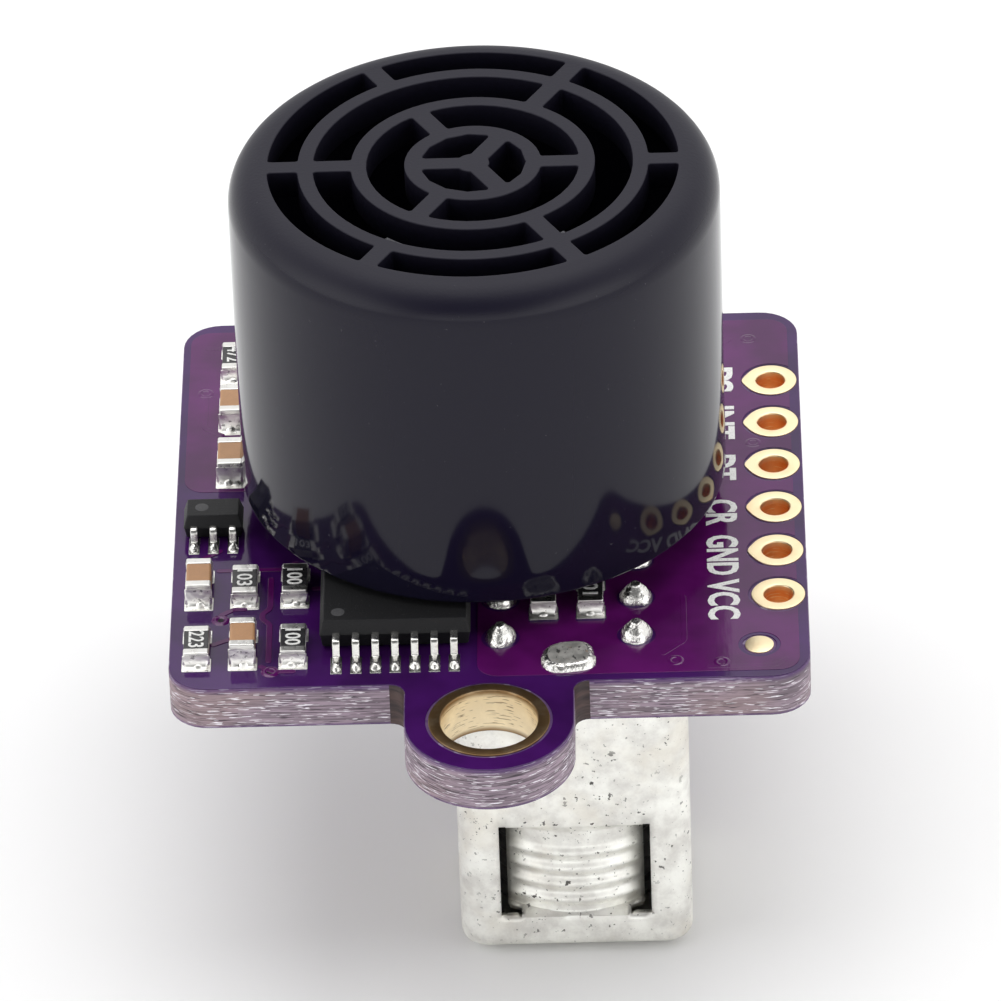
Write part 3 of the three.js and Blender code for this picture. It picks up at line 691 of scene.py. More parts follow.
def weathered_tin(name, rgb):
    """The flat top of a lug under a thin skin of solder: grey and cloudy with dark and rusty specks."""
    made = Finish(name, {"Metallic": 0.6})
    cloud = made.noise(2.2, 3)
    speck = made.noise((7.0, 5.0, 5.0), 2).step(0.60, 0.66)
    rust = made.noise(5.0, 2).step(0.62, 0.70)
    grey = made.mix(shade(rgb, 0.42), shade(rgb, 0.72), cloud.step(0.35, 0.65))
    rusty = made.mix(grey, (0.42, 0.27, 0.17), rust * 0.5)
    made.feed("Base Color", made.mix(rusty, (0.05, 0.05, 0.05), speck * 0.8))
    made.feed("Roughness", 0.34 + cloud * 0.2)
    return made.relief(cloud + speck * 0.5, 0.03)


def fired_ceramic(name, rgb, rough=0.55):
    """Fired ceramic with small pores."""
    made = Finish(name)
    grain = made.noise(11.0, 3)
    cloud = made.noise(1.3, 2)
    made.feed("Base Color", made.mix(shade(rgb, 0.75), shade(rgb, 1.3), cloud * 0.6 + grain * 0.4))
    made.feed("Roughness", rough - 0.08 + grain * 0.2)
    return made.relief(grain, 0.01)


def black_glaze(name):
    """The glassy black coat on a resistor, with a trace of the film under it."""
    made = Finish(name, {"IOR": 1.55})
    flow = made.noise(2.5, 3)
    made.feed("Base Color", made.mix((0.008, 0.008, 0.010), (0.035, 0.033, 0.036), flow))
    made.feed("Roughness", 0.16 + flow * 0.16)
    return made.relief(flow, 0.02)


def printed_ink(name, rgb):
    """Screen-printed ink, slightly broken at its edges."""
    made = Finish(name)
    grain = made.noise(14.0, 3)
    made.feed("Base Color", made.mix(shade(rgb, 0.78), rgb, grain.step(0.3, 0.55)))
    made.feed("Roughness", 0.55 + grain * 0.2)
    return made.relief(grain, 0.008)


def enamelled_wire(name, rgb):
    """Copper under clear enamel, wound in fine rings, darker in the grooves between them: painted shade."""
    made = Finish(name, {"Metallic": 1.0})
    inputs = {"Vector": made.spread((0, 0, 2.2)), "Scale": 1.0}
    turns = made.value("ShaderNodeTexWave", {"bands_direction": "Z"}, inputs)
    # Darker where the rings' bump is low: painted shade in the grooves.
    made.feed("Base Color", made.mix(shade(rgb, 0.6), rgb, turns * 0.7 + made.noise(3.0, 2) * 0.3))
    made.feed("Roughness", 0.25 + turns * 0.1)
    return made.relief(turns, 0.03)


def soft_silicone(name, rgb):
    """Soft cast rubber with a dusty bloom."""
    made = Finish(name)
    bloom = made.noise(2.2, 4)
    made.feed("Base Color", made.mix(shade(rgb, 0.85), rgb, bloom))
    made.feed("Roughness", 0.6 + bloom * 0.2)
    return made.relief(bloom, 0.02)


def solder():
    return finish_of("solder", solder_metal, settings("chips").solder[:])


def smooth_solder():
    """The calmer solder on the small two-ended parts."""
    return finish_of("smooth solder", solder_metal, shade(settings("chips").solder[:], 1.15), 0.016, 0.26)


def tinned_ends():
    return finish_of("tinned ends", bare_metal, settings("chips").solder[:], 0.28, 3.0, 0.02)


def ink():
    return finish_of("printed ink", printed_ink, settings("chips").print[:])


def alumina():
    return finish_of("alumina", fired_ceramic, (0.62, 0.61, 0.58))


def phenolic():
    return finish_of("phenolic", matt_moulding, (0.018, 0.018, 0.021))


def ferrite():
    return finish_of("ferrite", fired_ceramic, settings("transformer").ferrite[:], 0.5)


# ---- Making pieces ----


def piece(name, shell, finishes, nodes=(), body=REST_BODY):
    """Makes the shell a mesh in metres, welded and facing out, that rides on body and stands for nodes."""
    mesh = bpy.data.meshes.new(name)
    faces = [row for block_of in shell.faces for row in block_of.tolist()]
    mesh.from_pydata((shell.points * MM).tolist(), [], faces)
    mesh.polygons.foreach_set("material_index", np.concatenate(shell.finishes).astype(np.int32))
    made = bmesh.new()
    made.from_mesh(mesh)
    bmesh.ops.remove_doubles(made, verts=made.verts, dist=WELD)
    bmesh.ops.recalc_face_normals(made, faces=made.faces)
    made.to_mesh(mesh)
    made.free()
    mesh.shade_smooth()
    mesh.set_sharp_from_angle(angle=CREASE)
    for material in finishes:
        mesh.materials.append(material)
    thing = bpy.data.objects.new(name, mesh)
    bpy.context.scene.collection.objects.link(thing)
    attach(thing, body)
    if nodes:
        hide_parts(*nodes)
    return thing


# ---- Circuit board ----

MIDDLE = (BOARD_LOW + BOARD_HIGH)[:2] / 2
TRANSDUCER_PINS = [middle(f"transducer_pin_{side}")[:2] for side in ("left", "right")]
COIL_PINS = [middle(f"transformer_pin_{i}")[:2] for i in range(1, 7)]
LUGS = [middle("front_lug_solder")[:2], middle("rear_lug_solder")[:2]]
TEST_PAD = middle("test_pad")[:2]
VIAS = [(9.05, 9.12), (9.10, 2.77), (-7.08, -9.9), (7.83, -9.95), (-9.61, 6.55), (6.3, -9.8), (-8.78, -6.9)]
OPENING = 0.09  # of the mask round a pad
BARREL = 0.4  # from a plated hole's bore to its flange's edge
DRILLED = 0.33  # from the hole in the laminate to the flange's edge
SUNK = 0.01  # of copper and letters into the film
UNDER_WIDTH = 1.3  # of the lower tracks, in track widths
TIPS = [0.02] + [0.1] * 5  # how far each header pad's tip stands out
PRINTED_X = 7.95
PRINTED = [  # a pin's name, its place along the row from the pad's middle, and its length
    ("VCC", -0.25, 2.3), ("GND", -0.24, 2.3), ("CR", -0.28, 1.5), ("DT", -0.17, 1.5), ("INT", -0.01, 2.0),
    ("PS", 0.05, 1.5),
]


def arc(centre, r, start, stop, steps):
    turn = np.linspace(start, stop, steps + 1)
    return np.asarray(centre) + r * np.stack([np.cos(turn), np.sin(turn)], -1)


def board_outline(s):
    """Half of the outline as five arcs, then the same half turned half round."""
    corner, root = mm(s.corner), mm(s.root)
    x = (BOARD_HIGH[0] - BOARD_LOW[0]) / 2
    ear_y = MIDDLE[1] - EARS[0][1]
    y = ear_y - mm(s.reach)
    ear = BOARD_HIGH[1] - MIDDLE[1] - ear_y
    half = np.concatenate([
        arc((-x + corner, -y + corner), corner, math.pi, 1.5 * math.pi, 8),
        arc((-ear - root, -y - root), root, math.pi / 2, 0, 6),
        arc((0, -ear_y), ear, math.pi, TAU, 48)[1:-1],
        arc((ear + root, -y - root), root, math.pi, math.pi / 2, 6),
        arc((x - corner, -y + corner), corner, -math.pi / 2, 0, 8),
    ])
    return np.concatenate([half, -half]) + MIDDLE


def teardrop(points, centre, r, reach):
    """Points of a round pad pulled to a soft tip towards -X, by reach at the pad's edge."""
    x, y = (points[..., :2] - centre).T
    pull = reach * np.exp(-((np.arctan2(y, -x) / 0.30) ** 2)) * np.clip(np.hypot(x, y) / r, 0, 1.1) ** 3
    moved = points.copy()
    moved[..., 0] -= pull.T
    return moved


def pad_openings():
    """The mask's openings: the ears, the header row and the test pad."""
    ear, header = radius("front_ear_eyelet") + OPENING, radius("header_eyelet_1") + OPENING
    rings = [circle(ear, 72, c) for c in EARS]
    for centre, tip in zip(HEADER, TIPS):
        ring = teardrop(circle(header, 48), (0, 0), header, tip)
        ring[:, 0] *= np.where(ring[:, 0] > 0, (BOARD_HIGH[0] - 0.08 - centre[0]) / header, 1)
        rings.append(ring + centre)
    return rings + [circle(radius("test_pad") + OPENING, 32, TEST_PAD)]


def solder_holes():
    """The holes of the transducer's and the transformer's pins and the slots of the can's lugs."""
    holes = [circle(0.42, 24, c) for c in TRANSDUCER_PINS] + [circle(0.38, 24, c) for c in COIL_PINS]
    return holes + [rectangle(2.1, 0.5, 0.1) + c for c in LUGS]


def drilled():
    """The holes through the laminate."""
    ear, header = radius("front_ear_eyelet") - DRILLED, radius("header_eyelet_1") - DRILLED
    return [circle(ear, 72, c) for c in EARS] + [circle(header, 32, c) for c in HEADER] + solder_holes()


def track(points, width, corner=0.3):
    """A copper track: a line of rounded corners widened to both sides, with half-round ends."""
    path = rounded(points, corner, 6, closed=False)
    along = unit(np.gradient(path, axis=0))
    normal = np.stack([-along[:, 1], along[:, 0]], -1)
    r = width / 2
    first, last = (math.atan2(side[1], side[0]) for side in (normal[0], normal[-1]))
    return np.concatenate([
        path + normal * r, arc(path[-1], r, last, last - math.pi, 6)[1:-1],
        (path - normal * r)[::-1], arc(path[0], r, first - math.pi, first - TAU, 6)[1:-1],
    ])


TOP_TRACKS = [
    [(-9.53, -4.0), (-9.53, -3.4), (-8.9, -2.9)],
    [(-8.9, -4.05), (-6.6, -4.05), (-6.35, -3.7)],
    [(-8.75, -6.6), (-8.35, -6.3), (-8.0, -6.3)],
    [(-7.15, -9.3), (-7.15, -7.2), (-7.4, -6.9), (-7.4, -6.6), (-7.15, -6.3), (-7.15, -4.6)],
    [(-9.0, -8.3), (-8.45, -8.0)],
    [(-6.33, -9.9), (-7.0, -9.9), (-7.4, -9.6)],
    [(-5.7, -5.2), (-5.1, -5.2)],
    [(5.9, -9.4), (6.6, -8.7), (6.6, -6.2)],
    [(7.4, -10.2), (9.6, -10.2), (9.95, -9.85)],
    [(8.4, 9.1), (7.4, 8.1), (6.4, 8.1)],
    [(-9.6, 6.3), (-9.6, 4.4), (-9.0, 4.0)],
    [(-9.6, 9.3), (-9.0, 9.3), (-8.7, 9.0)],
]
UNDER_TRACKS = [
    [(-7.6, 3.0), (-8.9, 3.0), (-9.6, 2.3), (-9.6, -9.2)],
    [(-7.6, 4.3), (-9.0, 4.3), (-9.6, 4.9), (-9.6, 9.2)],
    [(-1.0, 4.6), (1.6, 4.6), (2.2, 4.4)],
    [(-1.0, 5.9), (1.2, 5.9), (1.9, 5.2), (2.3, 5.2)],
    [(-1.0, 7.2), (2.2, 7.2), (2.8, 7.8)],
    [(9.77, -3.6), (7.4, -3.6), (6.4, -2.6), (0.5, -2.6), (-1.4, -0.8), (-1.4, 2.2)],
    [(9.77, -1.07), (7.6, -1.07), (6.6, -0.07), (1.6, -0.07), (0.2, 1.4), (-0.8, 2.4)],
    [(9.77, 1.47), (7.8, 1.47), (6.8, 2.4)],
    [(-7.0, -1.6), (-7.0, -3.6), (-6.5, -4.2)],
    [(-6.5, -7.9), (-6.5, -9.6), (-2.4, -9.6), (-1.6, -8.8)],
]


def right_pour():
    """The ground copper in front and beside the header: its outline goes round every header pad, and
    gaps are left round the coil pins, the test pad and the pads of the middle resistors."""
    gap = radius("header_eyelet_1") + 0.13
    side = 10.4
    turn = math.acos((side - HEADER[0][0]) / gap)
    bites = [arc(centre, gap, -turn, turn - TAU, 20) for centre in HEADER]
    corner = lambda x, y, k: arc((x, y), 0.7, k * math.pi / 2, (k + 1) * math.pi / 2, 6)
    outline = np.concatenate([
        corner(0.45, -9.75, 2), corner(side - 0.7, -9.75, 3), *bites, corner(side - 0.7, 9.6, 0),
        corner(8.0, 9.6, 1), [(7.3, -1.6), (5.5, -2.9), (-0.25, -2.9)],
    ])
    gaps = [circle(radius("test_pad") + 0.22, 32, TEST_PAD)] + [circle(0.64, 32, c) for c in COIL_PINS]
    for i in (6, 7):
        x, y, _ = middle(f"resistor_{i}")
        gaps += [rectangle(1.02, 0.9, 0.12) + (x, y + way * 0.85) for way in (-1, 1)]
    return outline, gaps


def ink_word(text, height, length_mm, weight=0.03):
    word = lettering(text, height, 0.02, weight=weight)
    span = np.ptp(word.points[:, 0])
    return word.sized(length_mm / span, 1, 1).turned(-90)


def make_laminate():
    s = settings("board")
    film = mm(s.film)
    outline = board_outline(s)
    edge = finish_of("cut laminate", cut_laminate, s.laminate[:], s.mask[:], TOP, UNDERSIDE)
    core = slab(outline, UNDERSIDE + film, TOP - film, 0.02, drilled(), 2)
    ear_y = MIDDLE[1] - EARS[0][1]
    front, reach = ear_y - mm(s.reach), mm(s.root)
    ear = BOARD_HIGH[1] - MIDDLE[1] - ear_y
    at_root = lambda c: (
        (np.abs(np.abs(c[:, 0] - MIDDLE[0]) - ear - reach / 2) < reach / 2 + 0.03)
        & (np.abs(np.abs(c[:, 1]) - front - reach / 2) < reach / 2 + 0.03)
    )
    core = core.painted_where(at_root, 1)
    piece("laminate", core, [edge, finish_of("scorched laminate", dark_root_laminate)], ["circuit_board"])


def make_mask():
    s = settings("board")
    film = mm(s.film)
    mask = finish_of("solder mask", solder_mask, s.mask[:])
    outline = inset(board_outline(s), 0.03)
    openings = pad_openings()
    plated_only = openings[:-1]  # the test pad, the last one, is on the upper face alone
    upper = slab(outline, TOP - film, TOP, 0.012, openings + solder_holes(), 2)
    lower = slab(outline, UNDERSIDE, UNDERSIDE + film, 0.012, plated_only + solder_holes(), 2)
    piece("mask_top", upper, [mask])
    piece("mask_under", lower, [mask])


def make_tracks():
    s = settings("board")
    copper = finish_of("mask on copper", solder_mask, s.copper_mask[:])
    dark = finish_of("via pit", matt_moulding, (0.012, 0.008, 0.014))
    width = mm(s.track)
    low, high = TOP - SUNK, TOP + 0.022
    above = sum(slab(track(t, width), low, high, 0.010, steps=2) for t in TOP_TRACKS)
    outline, gaps = right_pour()
    pour = slab(outline, low, TOP + 0.016, 0.008, gaps, 2)
    corners = [(-10.2, 10.3), (-10.2, 0.6), (-7.4, 0.6), (-6.6, 3.0), (-6.6, 10.3)]
    left = slab(rounded(corners, 0.7, 6), low, TOP + 0.014, 0.008, steps=2)
    piece("tracks_top", above + pour + left, [copper])
    low, high = UNDERSIDE - 0.022, UNDERSIDE + SUNK
    below = sum(slab(track(t, width * UNDER_WIDTH), low, high, 0.010, steps=2) for t in UNDER_TRACKS)
    piece("tracks_under", below, [copper])
    via = lathe([(0, 0.006), (0.11, 0.006), (0.15, 0.03), (0.2, 0.036), (0.27, 0.02), (0.31, 0), (0, 0)], 28)
    # The disc in each via's middle takes the near-black finish: painted shade standing for the hole.
    via = via.painted_where(lambda c: np.hypot(c[:, 0], c[:, 1]) < 0.12, 1)
    both = sum(via.moved(x, y, TOP) + via.sized(1, 1, -1).moved(x, y, UNDERSIDE) for x, y in VIAS)
    piece("vias", both, [copper, dark])


def make_print():
    s = settings("board")
    height = mm(s.letter)
    words = sum(
        ink_word(text, height, span).moved(PRINTED_X, pad[1] + along, TOP + 0.012)
        for pad, (text, along, span) in zip(HEADER, PRINTED)
    )
    piece("pin_names", words, [ink()])


def eyelet(hole, flange, film):
    """A plated hole: one closed profile round its barrel and both flanges."""
    high, low = TOP + 0.024, UNDERSIDE - 0.024
    corners = [
        (hole, high), (flange, high), (flange, TOP - film), (hole + 0.05, TOP - film),
        (hole + 0.05, UNDERSIDE + film), (flange, UNDERSIDE + film), (flange, low), (hole, low),
    ]
    profile = rounded(corners, [0.06, 0.02, 0, 0, 0, 0, 0.02, 0.06], 5)
    return np.concatenate([profile, profile[:1]])


def make_plating():
    s = settings("board")
    film = mm(s.film)
    pad = finish_of("gold pads", plated, s.gold[:], (0.92, 0.42, 0.14), TOP - 0.02, (1.0, 0.78, 0.45))
    worn, bright, marks = (0.26, 0.16, 0.075), (0.98, 0.84, 0.58), (0.33, 0.24, 0.14)
    ring = finish_of("screw hole plating", plated, worn, bright, TOP, marks)
    big, small = radius("front_ear_eyelet"), radius("header_eyelet_1")
    for end, centre in zip(("front", "rear"), EARS):
        turned = lathe(eyelet(big - BARREL, big, film), 96).moved(*centre)
        piece(f"ear_ring_{end}", turned, [ring], [f"{end}_ear_eyelet"])
    for i, (centre, tip) in enumerate(zip(HEADER, TIPS), 1):
        turned = lathe(eyelet(small - BARREL, small, film), 48)
        turned.points = teardrop(turned.points, (0, 0), small, tip)
        piece(f"header_pad_{i}", turned.moved(*centre), [pad], [f"header_eyelet_{i}"])
    r = radius("test_pad")
    flat = lathe([(0, 0.022), (r - 0.03, 0.022), (r - 0.008, 0.014), (r, 0), (r, -film), (0, -film)], 48)
    piece("probe_pad", flat.moved(*TEST_PAD, TOP), [pad], ["test_pad"])


# ---- Transducer ----


def slot_outline(inner, outer, start, stop, spoke, corner):
    """A ring sector between two spokes of even width, with its four corners rounded."""
    lead = lambda r: math.asin(spoke / 2 / r)
    steps = max(3, round((stop - start) * inner / 0.32))
    out = arc((0, 0), outer, start + lead(outer), stop - lead(outer), steps)
    back = arc((0, 0), inner, stop - lead(inner), start + lead(inner), steps)
    radii = np.zeros(2 * steps + 2)
    radii[[0, steps, steps + 1, -1]] = corner
    return rounded(np.concatenate([out, back]), radii, 4)


def face_slots(s, outside):
    """Each ring is as wide as its share of the room that the ring bars leave."""
    rings = [(3, 0, 1.25), (3, math.pi, 1.25), (6, 0, 1)]
    eye, bar, spoke = mm(s.eye), mm(s.bar), mm(s.spoke)
    free = outside - mm(s.rim) - eye - len(rings) * bar
    share = free / sum(part for *_, part in rings)
    bands = [(mm(s.hub), eye, 3, math.pi)]
    inner = eye + bar
    for spokes, turn, part in rings:
        bands.append((inner, inner + part * share, spokes, turn))
        inner += part * share + bar
    slots = []
    for low, high, spokes, turn in bands:
        step = TAU / spokes
        starts = turn + step * np.arange(spokes)
        slots += [slot_outline(low, high, start, start + step, spoke, 0.1) for start in starts]
    return slots


def make_cup():
    """The cup: its outline is carried over the shoulder, down the side, round the foot and up the bore."""
    s = settings("transducer")
    outside = radius("transducer_housing")
    edge, wall, thick = mm(s.edge), mm(s.wall), mm(s.face)
    low = HOUSING_LOW[2]
    turn = np.linspace(0, math.pi / 2, 13)
    shoulder = np.stack([edge * (1 - np.sin(turn)), FACE - edge * (1 - np.cos(turn))], -1)
    side = [(0, z) for z in np.linspace(FACE - edge, low + 0.15, 12)[1:]]
    foot = [(0.02, low + 0.06), (0.08, low + 0.01), (0.16, low), (wall - 0.08, low), (wall, low + 0.08)]
    bore = [(wall, z) for z in np.linspace(low + 0.3, FACE - thick - 0.25, 6)]
    ceiling = [(wall + 0.07, FACE - thick - 0.07), (wall + 0.25, FACE - thick)]
    rim = [(edge + 0.03, FACE), *shoulder, *side, *foot, *bore, *ceiling]
    lining = edge_rows(FACE - thick, FACE, 0.035)
    cup = plate(circle(outside, 288), rim, face_slots(s, outside), lining)
    within = lambda c, r: np.hypot(c[:, 0], c[:, 1]) < r
    slotted = outside - mm(s.rim) + 0.1
    # The slot walls, the ceiling under the face and the bore take the darker finish: painted shade inside the
    # cup.
    cup = cup.painted_where(lambda c: (c[:, 2] < FACE - 0.04) & within(c, slotted), 1)
    cup = cup.painted_where(lambda c: (c[:, 2] < FACE - 0.3) & within(c, outside - wall + 0.02), 1)
    outer = finish_of("polished moulding", gloss_moulding, s.plastic[:], FACE)
    inner = finish_of("dull moulding", shaded_moulding, s.plastic[:])
    piece("transducer_cup", cup, [outer, inner], ["transducer_housing"])


def round_edges(corners, r, steps=4):
    """A turned section from (radius, height) corners, the first and last on the axis."""
    return rounded(corners, [0 if x <= 0 else r for x, _ in corners], steps, closed=False)


def turned_disc(name, node, r, finish):
    """A plain disc of its node's size, with its edges rounded."""
    low, high = box(node)
    corners = [(0, low[2]), (high[0], low[2]), (high[0], high[2]), (0, high[2])]
    piece(name, lathe(round_edges(corners, r)), [finish], [node])


def make_sounder():
    """Everything inside the cup, from the plug up to the radiating cone."""
    low, high = box("transducer_plug")
    wide, base, top = high[0], low[2], high[2]
    step, neck = top - 1.8, 4.2
    corners = [(0, base), (wide, base), (wide, step), (neck, step), (neck, top), (0, top)]
    piece("base_plug", lathe(round_edges(corners, 0.12)), [phenolic()], ["transducer_plug"])
    low, high = box("cushion_ring")
    bore = 2.3
    corners = [(bore, low[2]), (high[0], low[2]), (high[0], high[2]), (bore, high[2])]
    pad = rounded(corners, 0.28, 5)
    silicone = finish_of("silicone", soft_silicone, (0.62, 0.62, 0.58))
    ring = piece("soft_ring", lathe(np.concatenate([pad, pad[:1]])), [silicone], ["cushion_ring"])
    # The aluminium's colour is darkened: painted shade inside the cup.
    metal = finish_of("pressed aluminium", bare_metal, settings("transducer").metal[:], 0.34)
    fired = finish_of("piezo ceramic", fired_ceramic, (0.62, 0.57, 0.46))
    turned_disc("sounding_disc", "piezo_disc", 0.03, fired)
    turned_disc("metal_diaphragm", "diaphragm", 0.05, metal)
    low, high = box("radiating_cone")
    wide, base, top = high[0], low[2], high[2]
    cone = [(0, base), (0.9, base), (wide, top), (wide - 0.3, top), (0.66, base + 0.3), (0, base + 0.3)]
    piece("cone", lathe(round_edges(cone, 0.1)), [metal], ["radiating_cone"])


def solder_profile(r, tip, foot_radius, height):
    """(radius, height) rows of a soldered pin's end: a hollow cone that meets the pin near its tip."""
    u = np.linspace(0, 1, 10)[:, None]
    cone = np.concatenate([r + 0.02 + (foot_radius - r - 0.02) * (1 - u**1.6) ** 0.95, u * height], 1)
    end = [(r, height + 0.02), (r, tip - 0.07), (r * 0.8, tip - 0.015), (0, tip)]
    return np.concatenate([[(foot_radius, 0)], cone[1:], end])


def lumpy(shell, unevenness, seed):
    """A turned shape made uneven: its radius swells with two, three and five lobes round the axis."""
    random = np.random.default_rng(seed)
    phase = random.uniform(0, TAU, 3)
    t = np.arctan2(shell.points[:, 1], shell.points[:, 0])
    swell = np.sin(2 * t + phase[0]) + 0.7 * np.sin(3 * t + phase[1]) + 0.4 * np.sin(5 * t + phase[2])
    return shell.spread_out(1 + unevenness * swell)


def squared(shell, power):
    """A round foot drawn out towards a rectangle: 1 / (|cos t| ** p + |sin t| ** p) ** (1 / p)."""
    t = np.arctan2(shell.points[:, 1], shell.points[:, 0])
    return shell.spread_out((np.abs(np.cos(t)) ** power + np.abs(np.sin(t)) ** power) ** (-1 / power))


def make_transducer_pins():
    for i, name in enumerate(("left", "right")):
        low, high = box(f"transducer_pin_{name}")
        base = UNDERSIDE - 0.01
        end = solder_profile(0.32, base - low[2], 0.62, 0.55) * (1, -1) + (0, base)
        shank = [(0, high[2]), (0.27, high[2]), (0.32, high[2] - 0.05), (0.32, base)]
        body = lumpy(lathe(np.concatenate([shank, end]), 32), 0.03, 5 + i)
        place = TRANSDUCER_PINS[i]
        piece(f"soldered_pin_{name}", body.moved(*place), [solder()], [f"transducer_pin_{name}"])


def make_lead_wires():
    """Each wire rises beside its pin, crosses to the disc and dips onto it."""
    copper = finish_of("enamelled wire", bare_metal, (0.60, 0.24, 0.09), 0.3)
    for way, name, pin in zip((-1, 1), ("left", "right"), TRANSDUCER_PINS):
        low, high = box(f"lead_wire_{name}")
        outer, inner = max(abs(low[0]), abs(high[0])), min(abs(low[0]), abs(high[0]))
        base, top = low[2], high[2] - 0.05
        path = bezier(
            (pin[0], 0, base + 0.02), (way * (outer + 0.05), 0, base + 1.0), (way * (outer + 0.05), 0, top),
            (way * (inner + 0.35), 0, top + 0.02), (way * (inner + 0.1), 0, top - 0.3),
        )
        piece(f"hair_wire_{name}", tube(path, 0.07), [copper], [f"lead_wire_{name}"])


# ---- Transformer ----

NOTCH, NOTCH_HEIGHT = 0.75, 0.12  # of the cuts at the lower ends of the slits
LUG_ABOVE = 0.15  # of a lug's end over the board
LAYERS = 20  # of the winding
CORE_STEPS = 96  # round the tuning core
GROOVE = 0.16  # depth of its thread
SLOT_DEPTH = 0.7  # of the tool's slot in its nose
CROWN = 2.2  # from its lower end to the floor of its bore


def can_columns(s, width, depth):
    """The can's outline, anticlockwise from the front wall's left end, with columns on the slits' edges."""
    corner = mm(s.corner)
    half = mm(s.window) / 2
    strip_edge = half - mm(s.slit)
    x, y = width / 2 - corner, depth / 2 - corner
    wall = np.concatenate([
        np.linspace(-x, -half, 3)[:-1], [-half], np.linspace(-strip_edge, strip_edge, 31), [half],
        np.linspace(half, x, 3)[1:],
    ])
    side = np.linspace(-y, y, 9)[1:-1]
    quarter = lambda cx, cy, k: arc((cx, cy), corner, k * math.pi / 2, (k + 1) * math.pi / 2, 8)[1:-1]
    return np.concatenate([
        np.c_[wall, np.full(len(wall), -depth / 2)], quarter(x, -y, 3),
        np.c_[np.full(9, width / 2), np.r_[-y, side, y]], quarter(x, y, 0),
        np.c_[wall[::-1], np.full(len(wall), depth / 2)], quarter(-x, y, 1),
        np.c_[np.full(9, -width / 2), np.r_[y, side[::-1], -y]], quarter(-x, -y, 2),
    ])


def can_rows(s, height):
    """Heights up the walls: close rows over the window, where the ridges are, and few above it."""
    low, top = mm(s.lift), mm(s.lift + s.window_height)
    return np.concatenate([
        np.linspace(mm(s.edge), low, 5)[1:-1], np.linspace(low, top, 77), np.linspace(top, height, 9)[1:],
    ])


def pressed_strip(s, x, z, depth):
    """How far the pressed strip lies from the can's middle: on a round of radius R that grows at
    each ridge by the ridge's height times the square of a cosine, and back in the wall's plane at
    both ends, by a smooth step."""
    low, top = mm(s.lift), mm(s.lift + s.window_height)
    pitch, ridge = mm(s.pitch), mm(s.ridge)
    phase = (z - low) / pitch
    swell = ridge * np.cos(math.pi * phase) ** 2 * ((phase > 0.5) & (phase < 4.5))
    smooth = lambda t: np.clip(t, 0, 1) ** 2 * (3 - 2 * np.clip(t, 0, 1))
    blend = smooth((z - low) / 0.14) * smooth((top - z) / 0.40)
    arc_depth = np.sqrt((depth / 2 - ridge + swell) ** 2 - x**2)
    return depth / 2 + (arc_depth - depth / 2) * blend


def make_can():
    """A grid from the eye's rim over the closed end and up the walls, without the quads of the slits
    and of the notches under them. Solidify gives it its sheet's thickness."""
    s = settings("transformer")
    low, high = CAN_LOW[2], UNDERSIDE - 0.1
    size = CAN_HIGH - CAN_LOW
    loop = can_columns(s, size[0], size[1])
    edge = mm(s.edge)
    flat = inset(loop, edge)
    eye = unit(loop) * mm(s.eye)
    rows = [np.c_[eye + (flat - eye) * t, np.zeros(len(loop))] for t in np.linspace(0, 1, 7)]
    level = lambda outline, z: np.c_[outline, np.full(len(outline), z)]
    for turn in np.linspace(0, math.pi / 2, 6)[1:]:
        rows.append(level(inset(loop, edge * (1 - math.sin(turn))), edge * (1 - math.cos(turn))))
    start = len(rows)
    rows += [level(loop, z) for z in can_rows(s, high - low)]
    points = np.stack(rows)
    x, y, z = points[..., 0], points[..., 1], points[..., 2]
    half, slit_edge = mm(s.window) / 2, mm(s.window) / 2 - mm(s.slit)
    sill, head = mm(s.lift), mm(s.lift + s.window_height)
    on_wall = (np.abs(np.abs(y) - size[1] / 2) < 1e-6) & (np.abs(x) < slit_edge + 1e-6)
    inside = on_wall & (z > sill) & (z < head)
    points[..., 1] = np.where(inside, np.sign(y) * pressed_strip(s, np.clip(x, -3, 3), z, size[1]), y)
    shell = grid(points)
    quads = shell.faces[0]
    centre = shell.points[quads].mean(1)
    row = quads[:, 0] // len(loop)
    across = np.abs(centre[:, 0])
    in_window = (row >= start) & (centre[:, 2] > sill) & (centre[:, 2] < head)
    in_window &= (np.abs(centre[:, 1]) > 2) & (across < half)
    notch = (centre[:, 2] < sill + NOTCH_HEIGHT) & (across > half - NOTCH)
    shell = Shell(shell.points, [quads[~(in_window & ((across > slit_edge) | notch))]])
    middle_xy = (CAN_LOW + CAN_HIGH)[:2] / 2
    tin = finish_of("tinned sheet", tinned_sheet, s.tin[:])
    can = piece("can", shell.moved(*middle_xy, low), [tin], ["transformer_can"])
    thick = can.modifiers.new("sheet", "SOLIDIFY")
    thick.thickness = s.sheet
    thick.offset = -1
    lugs = sum(block(1.8, mm(s.sheet), high - 0.02, TOP + LUG_ABOVE, 0.04).moved(*place) for place in LUGS)
    piece("can_lugs", lugs, [tin])


def make_lug_solder():
    """A squared mound round each lug: solder at its sides and weathered tin on its flat top."""
    weathered = finish_of("weathered tin", weathered_tin, settings("transformer").tin[:])
    for i, name in enumerate(("front", "rear")):
        tall = (box(f"{name}_lug_solder")[1][2] - TOP) * 0.55
        mound = squared(dome(1, 1, tall, 9, 64, 18), 3.0).sized(1.86, 1.55, 1).turned(8)
        mound = mound.painted_where(lambda c: c[:, 2] > 0.95 * tall, 1)
        mound = lumpy(mound, 0.035, 21 + i).moved(LUGS[i][0], LUGS[i][1] * 0.98, TOP)
        piece(f"lug_joint_{name}", mound, [solder(), weathered], [f"{name}_lug_solder"])


